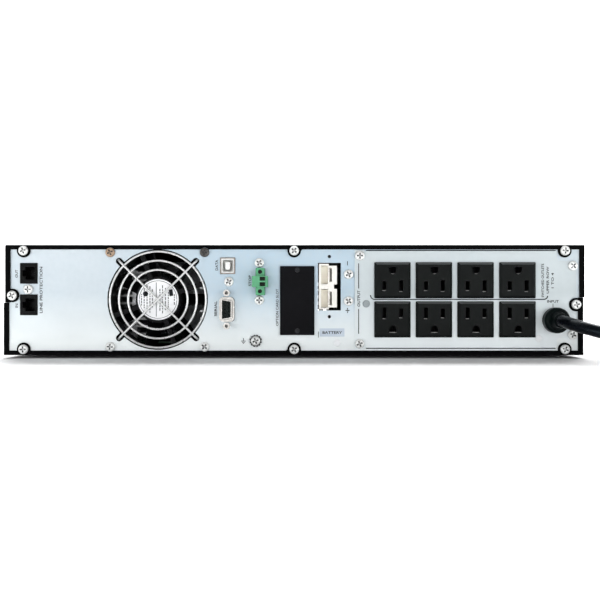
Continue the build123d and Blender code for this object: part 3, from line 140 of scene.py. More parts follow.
# ---------------------------------------------------------------- materials
class Surface:
    """One procedural material: a shader with colour, roughness and bump that vary over the surface."""

    def __init__(self, name, color, roughness, metallic=0.0, **sockets):
        self.material = bpy.data.materials.new(name)
        self.material.use_nodes = True
        self.material.diffuse_color = (*color, 1)
        self.tree = self.material.node_tree
        self.shader = self.tree.nodes["Principled BSDF"]
        self.color = color
        self.shader.inputs["Base Color"].default_value = (*color, 1)
        self.shader.inputs["Roughness"].default_value = roughness
        self.shader.inputs["Metallic"].default_value = metallic
        for socket, value in sockets.items():
            self.shader.inputs[socket.replace("_", " ")].default_value = value
        self.coords = self.tree.nodes.new("ShaderNodeTexCoord").outputs["Object"]
        self.paint = None

    def noise(self, size, detail=3.0, stretch=(1, 1, 1)):
        """Noise whose features are about size metres across, stretched along the axes."""
        mapping = self.tree.nodes.new("ShaderNodeMapping")
        mapping.inputs["Scale"].default_value = [1 / (size * s) for s in stretch]
        texture = self.tree.nodes.new("ShaderNodeTexNoise")
        texture.inputs["Scale"].default_value = 1.0
        texture.inputs["Detail"].default_value = detail
        self.tree.links.new(self.coords, mapping.inputs["Vector"])
        self.tree.links.new(mapping.outputs["Vector"], texture.inputs["Vector"])
        return texture.outputs["Fac"]

    def spread(self, source, low, high, from_low=0.3, from_high=0.7):
        """Map a 0 to 1 value onto a range."""
        node = self.tree.nodes.new("ShaderNodeMapRange")
        node.inputs["From Min"].default_value = from_low
        node.inputs["From Max"].default_value = from_high
        node.inputs["To Min"].default_value = low
        node.inputs["To Max"].default_value = high
        self.tree.links.new(source, node.inputs["Value"])
        return node.outputs["Result"]

    def tint(self, mask, color):
        """Blend another colour over the base colour where the mask is high."""
        mix = self.tree.nodes.new("ShaderNodeMix")
        mix.data_type = "RGBA"
        inputs = [s for s in mix.inputs if s.type == "RGBA"]
        inputs[0].default_value = (*self.color, 1)
        inputs[1].default_value = (*color, 1)
        if self.paint is not None:
            self.tree.links.new(self.paint, inputs[0])
        self.tree.links.new(mask, mix.inputs["Factor"])
        self.paint = [s for s in mix.outputs if s.type == "RGBA"][0]
        self.tree.links.new(self.paint, self.shader.inputs["Base Color"])
        return self

    def mottle(self, size, color, low=0.0, high=1.0, stretch=(1, 1, 1)):
        """Uneven patches of a second colour."""
        return self.tint(self.spread(self.noise(size, 4.0, stretch), low, high), color)

    def gloss(self, size, low, high, stretch=(1, 1, 1)):
        """Roughness that varies between two values."""
        self.tree.links.new(self.spread(self.noise(size, 4.0, stretch), low, high), self.shader.inputs["Roughness"])
        return self

    def bump(self, size, height, stretch=(1, 1, 1), detail=3.0):
        """Relief of a given height in metres."""
        node = self.tree.nodes.new("ShaderNodeBump")
        node.inputs["Strength"].default_value = 1.0
        node.inputs["Distance"].default_value = height
        self.tree.links.new(self.noise(size, detail, stretch), node.inputs["Height"])
        previous = self.shader.inputs["Normal"].links
        if previous:
            self.tree.links.new(previous[0].from_socket, node.inputs["Normal"])
        self.tree.links.new(node.outputs["Normal"], self.shader.inputs["Normal"])
        return self

    def nearer(self, point, reach, soft=0.0003):
        """1 within reach metres of a point and 0 beyond, over a soft edge."""
        node = self.tree.nodes.new("ShaderNodeVectorMath")
        node.operation = "DISTANCE"
        node.inputs[1].default_value = point
        self.tree.links.new(self.coords, node.inputs[0])
        return self.spread(node.outputs["Value"], 1.0, 0.0, reach - soft, reach + soft)

    def foot(self, color):
        """Painted light: blend towards another colour over the lower part of the chassis, a paler foot standing in for
        light thrown up from the floor.
        """
        split = self.tree.nodes.new("ShaderNodeSeparateXYZ")
        self.tree.links.new(self.coords, split.inputs["Vector"])
        return self.tint(self.spread(split.outputs["Z"], 1.0, 0.0, 0.012, 0.050), color)

    def painted_recess_shade(self, reach, color, shut=0.35, open_to=0.85):
        """Painted shade: a darker colour where the surface is shut in within reach metres."""
        node = self.tree.nodes.new("ShaderNodeAmbientOcclusion")
        node.samples = 8
        node.inputs["Distance"].default_value = reach
        return self.tint(self.spread(node.outputs["AO"], 1.0, 0.0, shut, open_to), color)

    def painted_top_highlight(self, color, low=0.35, high=0.9):
        """Painted highlight: a lighter colour on the faces that look up."""
        split = self.tree.nodes.new("ShaderNodeSeparateXYZ")
        self.tree.links.new(self.tree.nodes.new("ShaderNodeTexCoord").outputs["Normal"], split.inputs["Vector"])
        return self.tint(self.spread(split.outputs["Z"], 0.0, 1.0, low, high), color)

    def scratches(self, size, height, stretch):
        """Fine lines worn in one direction."""
        return self.bump(size, height, stretch, detail=6.0)


def powder_coat(name, color):
    """Black paint with a fine grain and hardly any shine."""
    sheen = 0.5
    return (Surface(name, color, sheen, Specular_IOR_Level=0.03)
            .mottle(0.03, tuple(c * 1.4 + 0.0006 for c in color), 0.0, 0.5)
            .gloss(0.012, sheen - 0.02, sheen + 0.04)
            .bump(0.0009, 0.00006)).material


def moulded(name, color, rough, second=None, grain=0.0008, relief=0.00003):
    """Moulded plastic or rubber; dark ones have a low sheen."""
    second = second or tuple(min(1.0, c * 1.4 + 0.002) for c in color)
    return (Surface(name, color, rough, Specular_IOR_Level=0.07 if max(color) < 0.05 else 0.5)
            .mottle(0.012, second, 0.0, 0.6)
            .gloss(0.006, rough - 0.06, rough + 0.09)
            .bump(grain, relief)).material


def plated(name, color, rough, second=None, stretch=(1, 1, 1)):
    """Bare or plated metal; stretch draws the marks out along an axis."""
    second = second or tuple(c * 0.72 for c in color)
    return (Surface(name, color, rough, 1.0)
            .mottle(0.004, second, 0.0, 0.8, stretch)
            .gloss(0.003, max(0.05, rough - 0.1), rough + 0.12)
            .bump(0.0012, 0.00002, stretch)).material


def galvanised(name, color, second, low, middle=None):
    """Pale zinc-coated sheet with soft spangle, a faint rolling direction and scratches, and painted light: lighter
    near the floor.
    """
    surface = Surface(name, color, 0.42, 0.08).mottle(0.06, second, 0.0, 0.8)
    if middle:                                    # a darker, bluer stretch above the middle
        surface.tint(surface.nearer((0, PANEL_Y, CHASSIS_TOP), 0.10, 0.05), middle)
    return (surface
            .mottle(0.004, tuple(c * 0.93 for c in color), 0.0, 0.35)
            # painted light: the sheet pales towards the floor, standing in for light thrown up from it
            .foot(low)
            .gloss(0.02, 0.33, 0.52)
            .scratches(0.0011, 0.000012, (8.0, 1.0, 0.6))).material


MATERIALS = {
    "cover": powder_coat("black_cover_paint", (0.0012, 0.0013, 0.0014)),
    "ear": powder_coat("black_ear_paint", (0.0022, 0.0023, 0.0025)),
    "card": powder_coat("card_cover_paint", (0.0066, 0.0066, 0.0078)),
    # the third colour of the panel and of the plate is painted light: their paler foot, lit from the floor
    "panel": galvanised("rear_panel_steel", (0.585, 0.665, 0.715), (0.64, 0.70, 0.745), (0.96, 1.0, 1.0),
                        (0.48, 0.61, 0.71)),
    "plate": galvanised("outlet_plate_steel", (0.57, 0.63, 0.65), (0.615, 0.67, 0.685), (0.92, 0.97, 0.985)),
    "black_screw": plated("black_oxide", (0.035, 0.035, 0.038), 0.38),
    "contact": plated("contact_silver", (0.72, 0.70, 0.66), 0.24, (0.40, 0.36, 0.32)),
    "blade": moulded("battery_blade", (0.80, 0.72, 0.62), 0.35),
    # painted highlight: this grey is the glint on the slot contacts and on the ground holes' lips
    "glint": moulded("contact_glint", (0.30, 0.30, 0.29), 0.3),
    "brass": plated("blade_brass", (0.78, 0.62, 0.33), 0.22),
    "sink": plated("extruded_aluminium", (0.70, 0.71, 0.72), 0.35, stretch=(1, 12, 1)),
    "fan": moulded("fan_plastic", (0.006, 0.006, 0.0065), 0.42),
    "rotor": moulded("rotor_plastic", (0.0025, 0.0028, 0.003), 0.52),
    "jack": moulded("jack_plastic", (0.0022, 0.0026, 0.0026), 0.28),
    "port_white": moulded("port_white", (0.90, 0.90, 0.88), 0.4, (0.84, 0.83, 0.80)),
    "port_black": moulded("port_insert", (0.012, 0.016, 0.015), 0.45),
    "ivory": moulded("connector_ivory", (0.97, 0.94, 0.89), 0.46, (0.92, 0.89, 0.82)),
    "board": moulded("board_mask", (0.012, 0.10, 0.045), 0.35, (0.02, 0.14, 0.06), 0.003, 0.00002),
    "rubber": moulded("boot_rubber", (0.0025, 0.0052, 0.0052), 0.34, (0.0045, 0.0085, 0.0085)),
    "plug": moulded("plug_black", (0.008, 0.009, 0.010), 0.40),
    "tie": moulded("tie_black", (0.010, 0.010, 0.011), 0.5),
    "can": moulded("capacitor_sleeve", (0.012, 0.018, 0.055), 0.3),
    "core": moulded("ferrite_core", (0.03, 0.028, 0.027), 0.55),
        "battery": moulded("battery_case", (0.035, 0.036, 0.040), 0.48),
    "dock": moulded("dock_plastic", (0.014, 0.014, 0.015), 0.45),
    "bezel": moulded("bezel_texture", (0.0105, 0.011, 0.0125), 0.5, (0.016, 0.017, 0.019), 0.0006, 0.00007),
    "door": moulded("door_texture", (0.012, 0.0125, 0.014), 0.46, (0.018, 0.019, 0.021), 0.0006, 0.00007),
    "display": moulded("display_frame", (0.006, 0.006, 0.0075), 0.18),
    "button": moulded("button_rubber", (0.16, 0.165, 0.175), 0.55),
    "foot": moulded("foot_rubber", (0.018, 0.018, 0.018), 0.7),
    "ink": moulded("legend_ink", (0.014, 0.015, 0.017), 0.5, (0.03, 0.032, 0.036)),
    "faint_ink": moulded("faint_ink", (0.05, 0.053, 0.056), 0.5),
    "label": moulded("label_film", (0.60, 0.68, 0.78), 0.34, (0.66, 0.73, 0.81)),
    "fan_label": moulded("fan_label_paper", (0.95, 0.95, 0.96), 0.30, (0.88, 0.88, 0.90)),
    "grey": moulded("grey_plug", (0.30, 0.34, 0.35), 0.5),
    "white": moulded("white_plug", (0.97, 0.985, 1.0), 0.4, (0.93, 0.945, 0.96)),
    # painted shade: black for the strips that stand for the shade in the plate's edge gaps
    "gap": moulded("shadow_gap", (0.004, 0.004, 0.004), 0.8),
}


RECESS_SHADE = (1.6 * MM, (0.03, 0.03, 0.03), 0.45, 0.92)    # reach, colour and range of the painted shade in a screw's cross recess


def screw_metal(name):
    """Bright nickel."""
    return (Surface(name, (0.92, 0.93, 0.92), 0.30, 0.3)
            .mottle(0.003, (0.74, 0.73, 0.71), 0.0, 0.7)
            .gloss(0.002, 0.22, 0.44)
            .bump(0.0011, 0.00002))


def panel_screw_metal():
    """The panel's screws, with painted shade in their cross recesses: two of the fan's four are of other batches,
    brownish and dark.
    """
    centre = node_centre("fan_frame")
    reach = 35.75 * MM                            # half the fan's screw pitch
    head_proud = 1.0 * MM
    surface = screw_metal("screw_nickel")
    for side, color in ((-1, (0.40, 0.28, 0.19)), (1, (0.075, 0.07, 0.065))):
        place = (centre.x + side * reach, PANEL_Y - head_proud, centre.z + reach)
        surface.tint(surface.nearer(place, 6.5 * MM), color)
    return surface.painted_recess_shade(*RECESS_SHADE).material


def ground_screw_metal():
    """A bright head on a dark toothed washer, with painted shade in its recesses."""
    centre = node_centre("ground_screw")
    washer_face = PANEL_Y - 0.9 * MM
    head_radius = 3.75 * MM
    surface = Surface("ground_screw_nickel", (0.028, 0.028, 0.03), 0.4, 0.5)
    head = surface.nearer((centre.x, washer_face, centre.z), head_radius, 0.00005)
    return (surface.tint(head, (0.80, 0.81, 0.80))
            .painted_recess_shade(*RECESS_SHADE)
            .gloss(0.002, 0.25, 0.45).bump(0.0011, 0.00002)).material


def port_metal():
    """Nickel with painted shade in the folds round a port's opening."""
    surface = Surface("port_nickel", (0.74, 0.72, 0.69), 0.28, 0.8).mottle(0.004, (0.60, 0.58, 0.55), 0.0, 0.8)
    data_port = node_centre("data_port_shell")
    surface.tint(surface.nearer((data_port.x, PANEL_Y, data_port.z), 10.5 * MM), (0.34, 0.30, 0.275))
    return (surface
            .painted_recess_shade(1.8 * MM, (0.05, 0.045, 0.04), 0.35, 0.8)
            .gloss(0.003, 0.18, 0.40)
            .bump(0.0012, 0.00002)).material


def inner_sheet():
    """Zinc-coated sheet of the inside, with painted shade where the bezel or a cover is near."""
    return (Surface("zinc_sheet", (0.42, 0.44, 0.45), 0.42, 1.0)
            .mottle(0.004, (0.30, 0.315, 0.325), 0.0, 0.8, (6, 1, 1))
            .painted_recess_shade(20.0 * MM, (0.03, 0.03, 0.032), 0.2, 0.7)
            .gloss(0.003, 0.32, 0.54)
            .bump(0.0012, 0.00002, (6, 1, 1))).material


def guard_nickel():
    """The fan guard's wires, a little duller than the screws."""
    return (Surface("guard_nickel", (0.86, 0.86, 0.855), 0.30, 0.45)
            .mottle(0.004, (0.70, 0.70, 0.69), 0.0, 0.8)
            .gloss(0.003, 0.22, 0.42)
            .bump(0.0012, 0.00002)).material


def terminal_moulding():
    """Green plastic with painted shade in its wire holes and other recesses."""
    return (Surface("terminal_green", (0.085, 0.36, 0.175), 0.42)
            .mottle(0.012, (0.12, 0.43, 0.22), 0.0, 0.6)
            .painted_recess_shade(4.0 * MM, (0.004, 0.012, 0.008), 0.25, 0.62)
            .gloss(0.006, 0.36, 0.51)
            .bump(0.0008, 0.00003)).material


def outlet_moulding():
    """Black plastic with a painted highlight on its upper bevels."""
    return (Surface("outlet_black", (0.0056, 0.0067, 0.0066), 0.40, Specular_IOR_Level=0.08)
            .mottle(0.012, (0.0094, 0.0112, 0.0108), 0.0, 0.6)
            .painted_top_highlight((0.13, 0.138, 0.138))
            .gloss(0.006, 0.34, 0.48)
            .bump(0.0008, 0.00003)).material


def cord_jacket():
    """Smooth black jacket with a cool sheen."""
    return (Surface("cord_jacket", (0.0015, 0.002, 0.0035), 0.24, Specular_IOR_Level=0.12,
                    Specular_Tint=(0.72, 0.9, 1.0, 1.0))
            .mottle(0.012, (0.0025, 0.0035, 0.006), 0.0, 0.6)
            .gloss(0.008, 0.20, 0.32)
            .bump(0.002, 0.00002)).material


def glass():
    """The display's tinted window."""
    surface = Surface("display_glass", (0.02, 0.035, 0.04), 0.08, 0.0, IOR=1.5, Alpha=0.45)
    surface.gloss(0.01, 0.05, 0.12)
    return surface.material


def lit_segments():
    """The display's lit segments."""
    surface = Surface("display_segments", (0.45, 0.75, 0.9), 0.4)
    surface.mottle(0.004, (0.4, 0.68, 0.85), 0.0, 0.5)
    surface.shader.inputs["Emission Color"].default_value = (0.35, 0.7, 1.0, 1)
    surface.shader.inputs["Emission Strength"].default_value = 0.6
    return surface.material


MATERIALS.update(
    # the cover screws carry painted shade in their cross recesses
    glass=glass(), segments=lit_segments(), screw=screw_metal("cover_screw_nickel").painted_recess_shade(*RECESS_SHADE).material,
    panel_screw=panel_screw_metal(), ground_screw=ground_screw_metal(), outlet=outlet_moulding(),
    jacket=cord_jacket(), port=port_metal(), green=terminal_moulding(), wire=guard_nickel(), inner=inner_sheet())

NODE_FINISH = {
    "lower_cover": "cover", "upper_cover": "cover", "rear_panel": "panel", "outlet_panel": "plate",
    "front_plate": "inner", "bay_wall": "inner", "card_cage": "inner", "battery_tray": "inner",
    "cover_screws": "screw", "panel_screws": "panel_screw", "ground_screw": "ground_screw",
    "terminal_plug_screws": "black_screw", "card_cover_screws": "black_screw", "rack_ear_screws": "black_screw",
    "fan_guard": "wire",
    "fan_frame": "fan", "fan_rotor": "rotor", "line_jack_upper": "jack", "line_jack_lower": "jack",
    "data_port_shell": "port", "serial_port_shell": "port", "serial_port_nuts": "port",
    "data_port_tongue": "port_white", "serial_port_insert": "port_black", "terminal_header": "green",
    "terminal_plug": "green", "card_slot_cover": "card", "battery_connector": "ivory",
    "battery_contacts": "contact", "main_board": "board", "comm_board": "board", "surge_board": "board",
    "outlet_board": "board", "strain_relief": "rubber", "input_cord": "jacket", "input_cord_coil": "jacket",
    "input_plug": "plug", "plug_blades": "brass", "heat_sinks": "sink", "bulk_capacitors": "can",
    "power_magnetics": "core", "batteries": "battery", "battery_dock": "dock", "bezel": "bezel",
    "battery_door": "door", "display_module": "display", "display_window": "glass", "button_on": "button",
    "button_select": "button", "button_off": "button", "rack_ears": "ear", "feet": "foot",
}


def finish_nodes():
    """Give every CAD node its material."""
    for name, node in NODES.items():
        finish = "outlet" if name.startswith("outlet_") and name[7:].isdigit() else NODE_FINISH[name]
        node.data.materials.clear()
        node.data.materials.append(MATERIALS[finish])


# ---------------------------------------------------------------- mesh helpers
def piece_from(name, mesh_data, finish, body, smooth=True):
    """Link a bmesh as one piece of the object, riding on a body."""
    mesh = bpy.data.meshes.new(name)
    mesh_data.to_mesh(mesh)
    mesh_data.free()
    for polygon in mesh.polygons:
        polygon.use_smooth = smooth
    mesh.materials.append(MATERIALS[finish])
    piece = bpy.data.objects.new(name, mesh)
    bpy.context.scene.collection.objects.link(piece)
    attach(piece, body)
    return piece


def revolve_profile(mesh_data, profile, centre, steps=40):
    """Turn (radius, reach) points about an axis along Y; reach runs out of the panel from the centre."""
    rings = []
    for radius, reach in profile:
        ring = []
        for step in range(steps):
            angle = 2 * math.pi * step / steps
            ring.append(mesh_data.verts.new((
                centre.x + radius * math.cos(angle), centre.y - reach, centre.z + radius * math.sin(angle))))
        rings.append(ring)
    for lower, upper in zip(rings, rings[1:]):
        for step in range(steps):
            following = (step + 1) % steps
            mesh_data.faces.new((lower[step], lower[following], upper[following], upper[step]))
    mesh_data.faces.new(rings[0][::-1])
    mesh_data.faces.new(rings[-1])
    bmesh.ops.recalc_face_normals(mesh_data, faces=mesh_data.faces)


def tube(mesh_data, points, radius, steps):
    """A closed round tube along points."""
    side = Vector((0, 0, 1))
    rings = []
    for index, point in enumerate(points):
        before = points[max(index - 1, 0)]
        after = points[min(index + 1, len(points) - 1)]
        along = (after - before).normalized()
        side = (side - along * side.dot(along)).normalized()
        across = along.cross(side)
        ring = []
        for step in range(steps):
            angle = 2 * math.pi * step / steps
            ring.append(mesh_data.verts.new(point + (side * math.cos(angle) + across * math.sin(angle)) * radius))
        rings.append(ring)
    for lower, upper in zip(rings, rings[1:]):
        for step in range(steps):
            following = (step + 1) % steps
            mesh_data.faces.new((lower[step], lower[following], upper[following], upper[step]))
    mesh_data.faces.new(rings[0])
    mesh_data.faces.new(rings[-1][::-1])
    bmesh.ops.recalc_face_normals(mesh_data, faces=mesh_data.faces)


def plate(mesh_data, outline, y_back, y_front):
    """A flat shape facing -Y from an outline of (x, height) in millimetres."""
    back = [mesh_data.verts.new(at(x, height, y_back)) for x, height in outline]
    front = [mesh_data.verts.new(at(x, height, y_front)) for x, height in outline]
    mesh_data.faces.new(back)
    mesh_data.faces.new(front[::-1])
    for index in range(len(outline)):
        following = (index + 1) % len(outline)
        mesh_data.faces.new((back[index], back[following], front[following], front[index]))
    bmesh.ops.recalc_face_normals(mesh_data, faces=mesh_data.faces)


def bar(mesh_data, x, height, width, tall, y_face, depth=SKIN):
    """A small rectangle standing on the face at y_face."""
    half_w, half_t = width / 2, tall / 2
    plate(mesh_data, [(x - half_w, height - half_t), (x + half_w, height - half_t),
                      (x + half_w, height + half_t), (x - half_w, height + half_t)], y_face, y_face - depth)


def arc_points(x, height, radius, start, end, count):
    return [(x + radius * math.cos(math.radians(start + (end - start) * i / (count - 1))),
             height + radius * math.sin(math.radians(start + (end - start) * i / (count - 1))))
            for i in range(count)]


def stroke(mesh_data, points, width, y_face):
    """A printed line of constant width through (x, height) points."""
    left, right = [], []
    for index, (x, height) in enumerate(points):
        x0, h0 = points[max(index - 1, 0)]
        x1, h1 = points[min(index + 1, len(points) - 1)]
        length = math.hypot(x1 - x0, h1 - h0)
        nx, nh = -(h1 - h0) / length * width / 2, (x1 - x0) / length * width / 2
        left.append((x + nx, height + nh))
        right.append((x - nx, height - nh))
    plate(mesh_data, left + right[::-1], y_face, y_face - SKIN)


def letters(mesh_data, words, x, height, tall, y_face, turned=False, long=None):
    """Add raised print centred on (x, height) in millimetres; turned reads upwards."""
    curve = bpy.data.curves.new("letters", "FONT")
    curve.body = words
    curve.size = 1.0
    curve.offset = 0.015                          # a little bolder than the font's own strokes
    curve.extrude = 0.0
    curve.resolution_u = 3
    holder = bpy.data.objects.new("letters", curve)
    bpy.context.scene.collection.objects.link(holder)
    bpy.context.view_layer.update()
    mesh = bpy.data.meshes.new_from_object(holder.evaluated_get(bpy.context.evaluated_depsgraph_get()))
    xs = [v.co.x for v in mesh.vertices]
    ys = [v.co.y for v in mesh.vertices]
    scale_y = tall / 0.7
    scale_x = long / (max(xs) - min(xs)) if long else scale_y
    middle_x, middle_y = (max(xs) + min(xs)) / 2, (max(ys) + min(ys)) / 2
    for vertex in mesh.vertices:
        u, v = (vertex.co.x - middle_x) * scale_x, (vertex.co.y - middle_y) * scale_y
        if turned:
            u, v = -v, u
        vertex.co = at(x + u, height + v, y_face)
    flat = bmesh.new()
    flat.from_mesh(mesh)
    walls = bmesh.ops.extrude_face_region(flat, geom=flat.faces[:])
    for element in walls["geom"]:
        if isinstance(element, bmesh.types.BMVert):
            element.co.y -= SKIN
    bmesh.ops.recalc_face_normals(flat, faces=flat.faces)
    flat.to_mesh(mesh)
    flat.free()
    mesh_data.from_mesh(mesh)
    bpy.data.objects.remove(holder)
    bpy.data.meshes.remove(mesh)
    bpy.data.curves.remove(curve)


# ---------------------------------------------------------------- input cord, its tie and its plug
CORD_R = 4.5 * MM
CORD_D = 2 * CORD_R
CORD_ROUTE = [                                    # x, distance out of the rear panel, z, in millimetres
    (197.5, 16.0, 28.7), (198.2, 27.0, 27.5), (203.0, 39.5, 25.1), (212.4, 51.0, 21.9), (226.0, 59.8, 18.0),
    (243.0, 65.6, 13.3), (262.5, 69.2, 8.1), (282.0, 71.0, 5.2), (297.0, 71.4, 4.5),
]
COIL_CENTRE = Vector((298.0 * MM, PANEL_Y - 14.4 * MM, 0))
OUTER_TURN, MIDDLE_TURN = 57.0 * MM, 48.0 * MM    # radii of the first two turns, on the floor
LAYER = CORD_D * math.sin(math.radians(60))       # rise from one layer to the next
COIL_TURNS = 5.25
POINTS_PER_TURN = 24
SHIFT_START = 0.6                                 # share of a turn after which the cord moves to its next place


def coil_place(turn):
    """Radius and height of the cord after so many turns: three on the floor, two on those, then on top."""
    whole = int(turn)
    shift = max(0.0, (turn - whole - SHIFT_START) / (1 - SHIFT_START))
    shift = (1 - math.cos(math.pi * shift)) / 2
    second_layer = CORD_R + LAYER + 0.13 * CORD_D * math.sin(math.pi * shift)
    if whole == 0:
        return OUTER_TURN - CORD_D * shift, CORD_R
    if whole == 1:
        return MIDDLE_TURN - CORD_D * shift, CORD_R
    if whole == 2:
        lean = math.radians(180 - 120 * shift)
        return MIDDLE_TURN - CORD_D * shift + CORD_D * math.cos(lean), CORD_R + CORD_D * math.sin(lean)
    if whole == 3:
        return MIDDLE_TURN - CORD_R + CORD_D * shift, second_layer
    if whole == 4:
        lean = math.radians(120 * shift)
        return (MIDDLE_TURN - CORD_R + CORD_D * shift + CORD_D * math.cos(lean),
                second_layer + CORD_D * math.sin(lean))
    return MIDDLE_TURN, CORD_R + 2 * LAYER


def coil_point(turn):
    radius, z = coil_place(turn)
    angle = 2 * math.pi * turn - math.pi / 2
    return COIL_CENTRE + Vector((radius * math.cos(angle), radius * math.sin(angle), z))


def cord_points():
    points = [Vector((x * MM, PANEL_Y - out * MM, z * MM)) for x, out, z in CORD_ROUTE]
    points += [coil_point(step / POINTS_PER_TURN) for step in range(1, int(COIL_TURNS * POINTS_PER_TURN) + 1)]
    leaving = points[-1]
    plug_low, plug_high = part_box("input_plug")
    plug_start = Vector(((plug_low.x + plug_high.x) / 2, plug_low.y + 4 * MM, (plug_low.z + plug_high.z) / 2))
    clear = 26 * MM                               # it runs level until it has crossed the turns below
    steps = 9
    for step in range(1, steps + 1):
        y = leaving.y + (plug_start.y - leaving.y) * step / steps
        share = max(0.0, (y - leaving.y - clear) / (plug_start.y - leaving.y - clear))
        share = (1 - math.cos(math.pi * share)) / 2
        points.append(Vector((leaving.x + (plug_start.x - leaving.x) * share, y,
                              leaving.z + 1.0 * MM * (1 - share) + (plug_start.z - leaving.z) * share)))
    return points


def make_cord():
    curve = bpy.data.curves.new("input_cord_run", "CURVE")
    curve.dimensions = "3D"
    spline = curve.splines.new("NURBS")
    points = cord_points()
    spline.points.add(len(points) - 1)
    for target, point in zip(spline.points, points):
        target.co = (*point, 1)
    spline.order_u = 3
    spline.use_endpoint_u = True
    curve.resolution_u = 4
    curve.bevel_depth = CORD_R
    curve.bevel_resolution = 5
    curve.use_fill_caps = True
    curve.materials.append(MATERIALS["jacket"])
    run = bpy.data.objects.new("input_cord_run", curve)
    bpy.context.scene.collection.objects.link(run)
    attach(run, "chassis")
    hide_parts("input_cord", "input_cord_coil")
    return run


def make_tie():
    """A strap round the coil's section, with its head on top."""
    angle = math.radians(-45)
    outward = Vector((math.cos(angle), math.sin(angle), 0))
    around = Vector((-outward.y, outward.x, 0))
    width, thick = 6.0 * MM, 1.1 * MM
    corners = [(OUTER_TURN - CORD_D * 2, CORD_R, 150, 270), (OUTER_TURN, CORD_R, 270, 390),
               (MIDDLE_TURN, CORD_R + 2 * LAYER, 30, 150)]
    outline = [(radius, z, math.radians(first + (last - first) * step / 8))
               for radius, z, first, last in corners for step in range(9)]
    mesh_data = bmesh.new()
    loops = []
    for side in (-width / 2, width / 2):
        for reach in (CORD_R, CORD_R + thick):
            loops.append([mesh_data.verts.new(
                COIL_CENTRE + outward * (radius + reach * math.cos(turn)) + around * side
                + Vector((0, 0, max(0.15 * MM, z + reach * math.sin(turn))))) for radius, z, turn in outline])
    inner_a, outer_a, inner_b, outer_b = loops
    for one, other in ((inner_a, outer_a), (outer_a, outer_b), (outer_b, inner_b), (inner_b, inner_a)):
        for step in range(len(outline)):
            following = (step + 1) % len(outline)
            mesh_data.faces.new((one[step], one[following], other[following], other[step]))
    bmesh.ops.recalc_face_normals(mesh_data, faces=mesh_data.faces)
    head = bmesh.ops.create_cube(mesh_data, size=1.0)["verts"]
    place = COIL_CENTRE + outward * MIDDLE_TURN + Vector((0, 0, CORD_R * 2 + 2 * LAYER + thick + 0.6 * MM))
    for vertex in head:
        local = vertex.co
        vertex.co = place + outward * local.x * 9 * MM + around * local.y * 8 * MM + Vector((0, 0, local.z * 3.4 * MM))
    edges = list({edge for vertex in head for edge in vertex.link_edges})
    bmesh.ops.bevel(mesh_data, geom=edges, offset=0.8 * MM, segments=2, affect="EDGES")
    tie = piece_from("cord_tie", mesh_data, "tie", "chassis", smooth=False)
    return tie


def loft(mesh_data, stations, x, z, steps=48):
    """Rounded sections along Y: each station is (y, half width, half height, squareness)."""
    rings = []
    for y, half_w, half_h, square in stations:
        ring = []
        for step in range(steps):
            angle = 2 * math.pi * step / steps
            c, s = math.cos(angle), math.sin(angle)
            ring.append(mesh_data.verts.new((
                x + half_w * math.copysign(abs(c) ** (2 / square), c), y,
                z + half_h * math.copysign(abs(s) ** (2 / square), s))))
        rings.append(ring)
    for lower, upper in zip(rings, rings[1:]):
        for step in range(steps):
            following = (step + 1) % steps
            mesh_data.faces.new((lower[step], lower[following], upper[following], upper[step]))
    mesh_data.faces.new(rings[0])
    mesh_data.faces.new(rings[-1][::-1])
    bmesh.ops.recalc_face_normals(mesh_data, faces=mesh_data.faces)


def make_plug():
    """Moulded plug: a ribbed, tapered strain relief that widens into a rounded grip."""
    low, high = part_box("input_plug")
    x, z = (low.x + high.x) / 2, (low.z + high.z) / 2
    half_w, half_h = (high.x - low.x) / 2, (high.z - low.z) / 2
    stations = [(low.y, 5.0 * MM, 5.0 * MM, 2), (low.y + 0.4 * MM, 5.4 * MM, 5.4 * MM, 2)]
    ribs = 5
    for rib in range(ribs):
        start = low.y + (1.6 + rib * 4.2) * MM
        radius = (5.6 + rib * 0.45) * MM
        for offset, dip in ((0.0, 0.0), (2.4, 0.0), (2.7, 0.8), (3.9, 0.8), (4.2, 0.0)):
            stations.append((start + offset * MM, radius - dip * MM, radius - dip * MM, 2))
    grip, grip_widens, neck = low.y + 24.5 * MM, 12.0 * MM, 8.3 * MM
    for share, squareness in ((0.0, 2.1), (0.25, 2.6), (0.55, 3.2), (0.85, 3.8), (1.0, 4.0)):
        ease = math.sin(share * math.pi / 2)
        stations.append((grip + grip_widens * share, neck + (half_w - neck) * ease,
                         neck + (half_h - neck) * ease, squareness))
    for back, inset in ((1.6, 0.0), (0.5, 0.5), (0.0, 1.6)):
        stations.append((high.y - back * MM, half_w - inset * MM, half_h - inset * MM, 4.0))
    mesh_data = bmesh.new()
    loft(mesh_data, stations, x, z)
    plug = piece_from("cord_plug", mesh_data, "plug", "chassis")
    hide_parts("input_plug")
    return plug


def make_input_cord():
    run = make_cord()
    tie = make_tie()
    plug = make_plug()


# ---------------------------------------------------------------- fan guard and hub label
RING_RADII = (36.6, 29.6, 22.6)                   # millimetres
SPOKE_REACH = 43.2
LABEL_R = 15.6


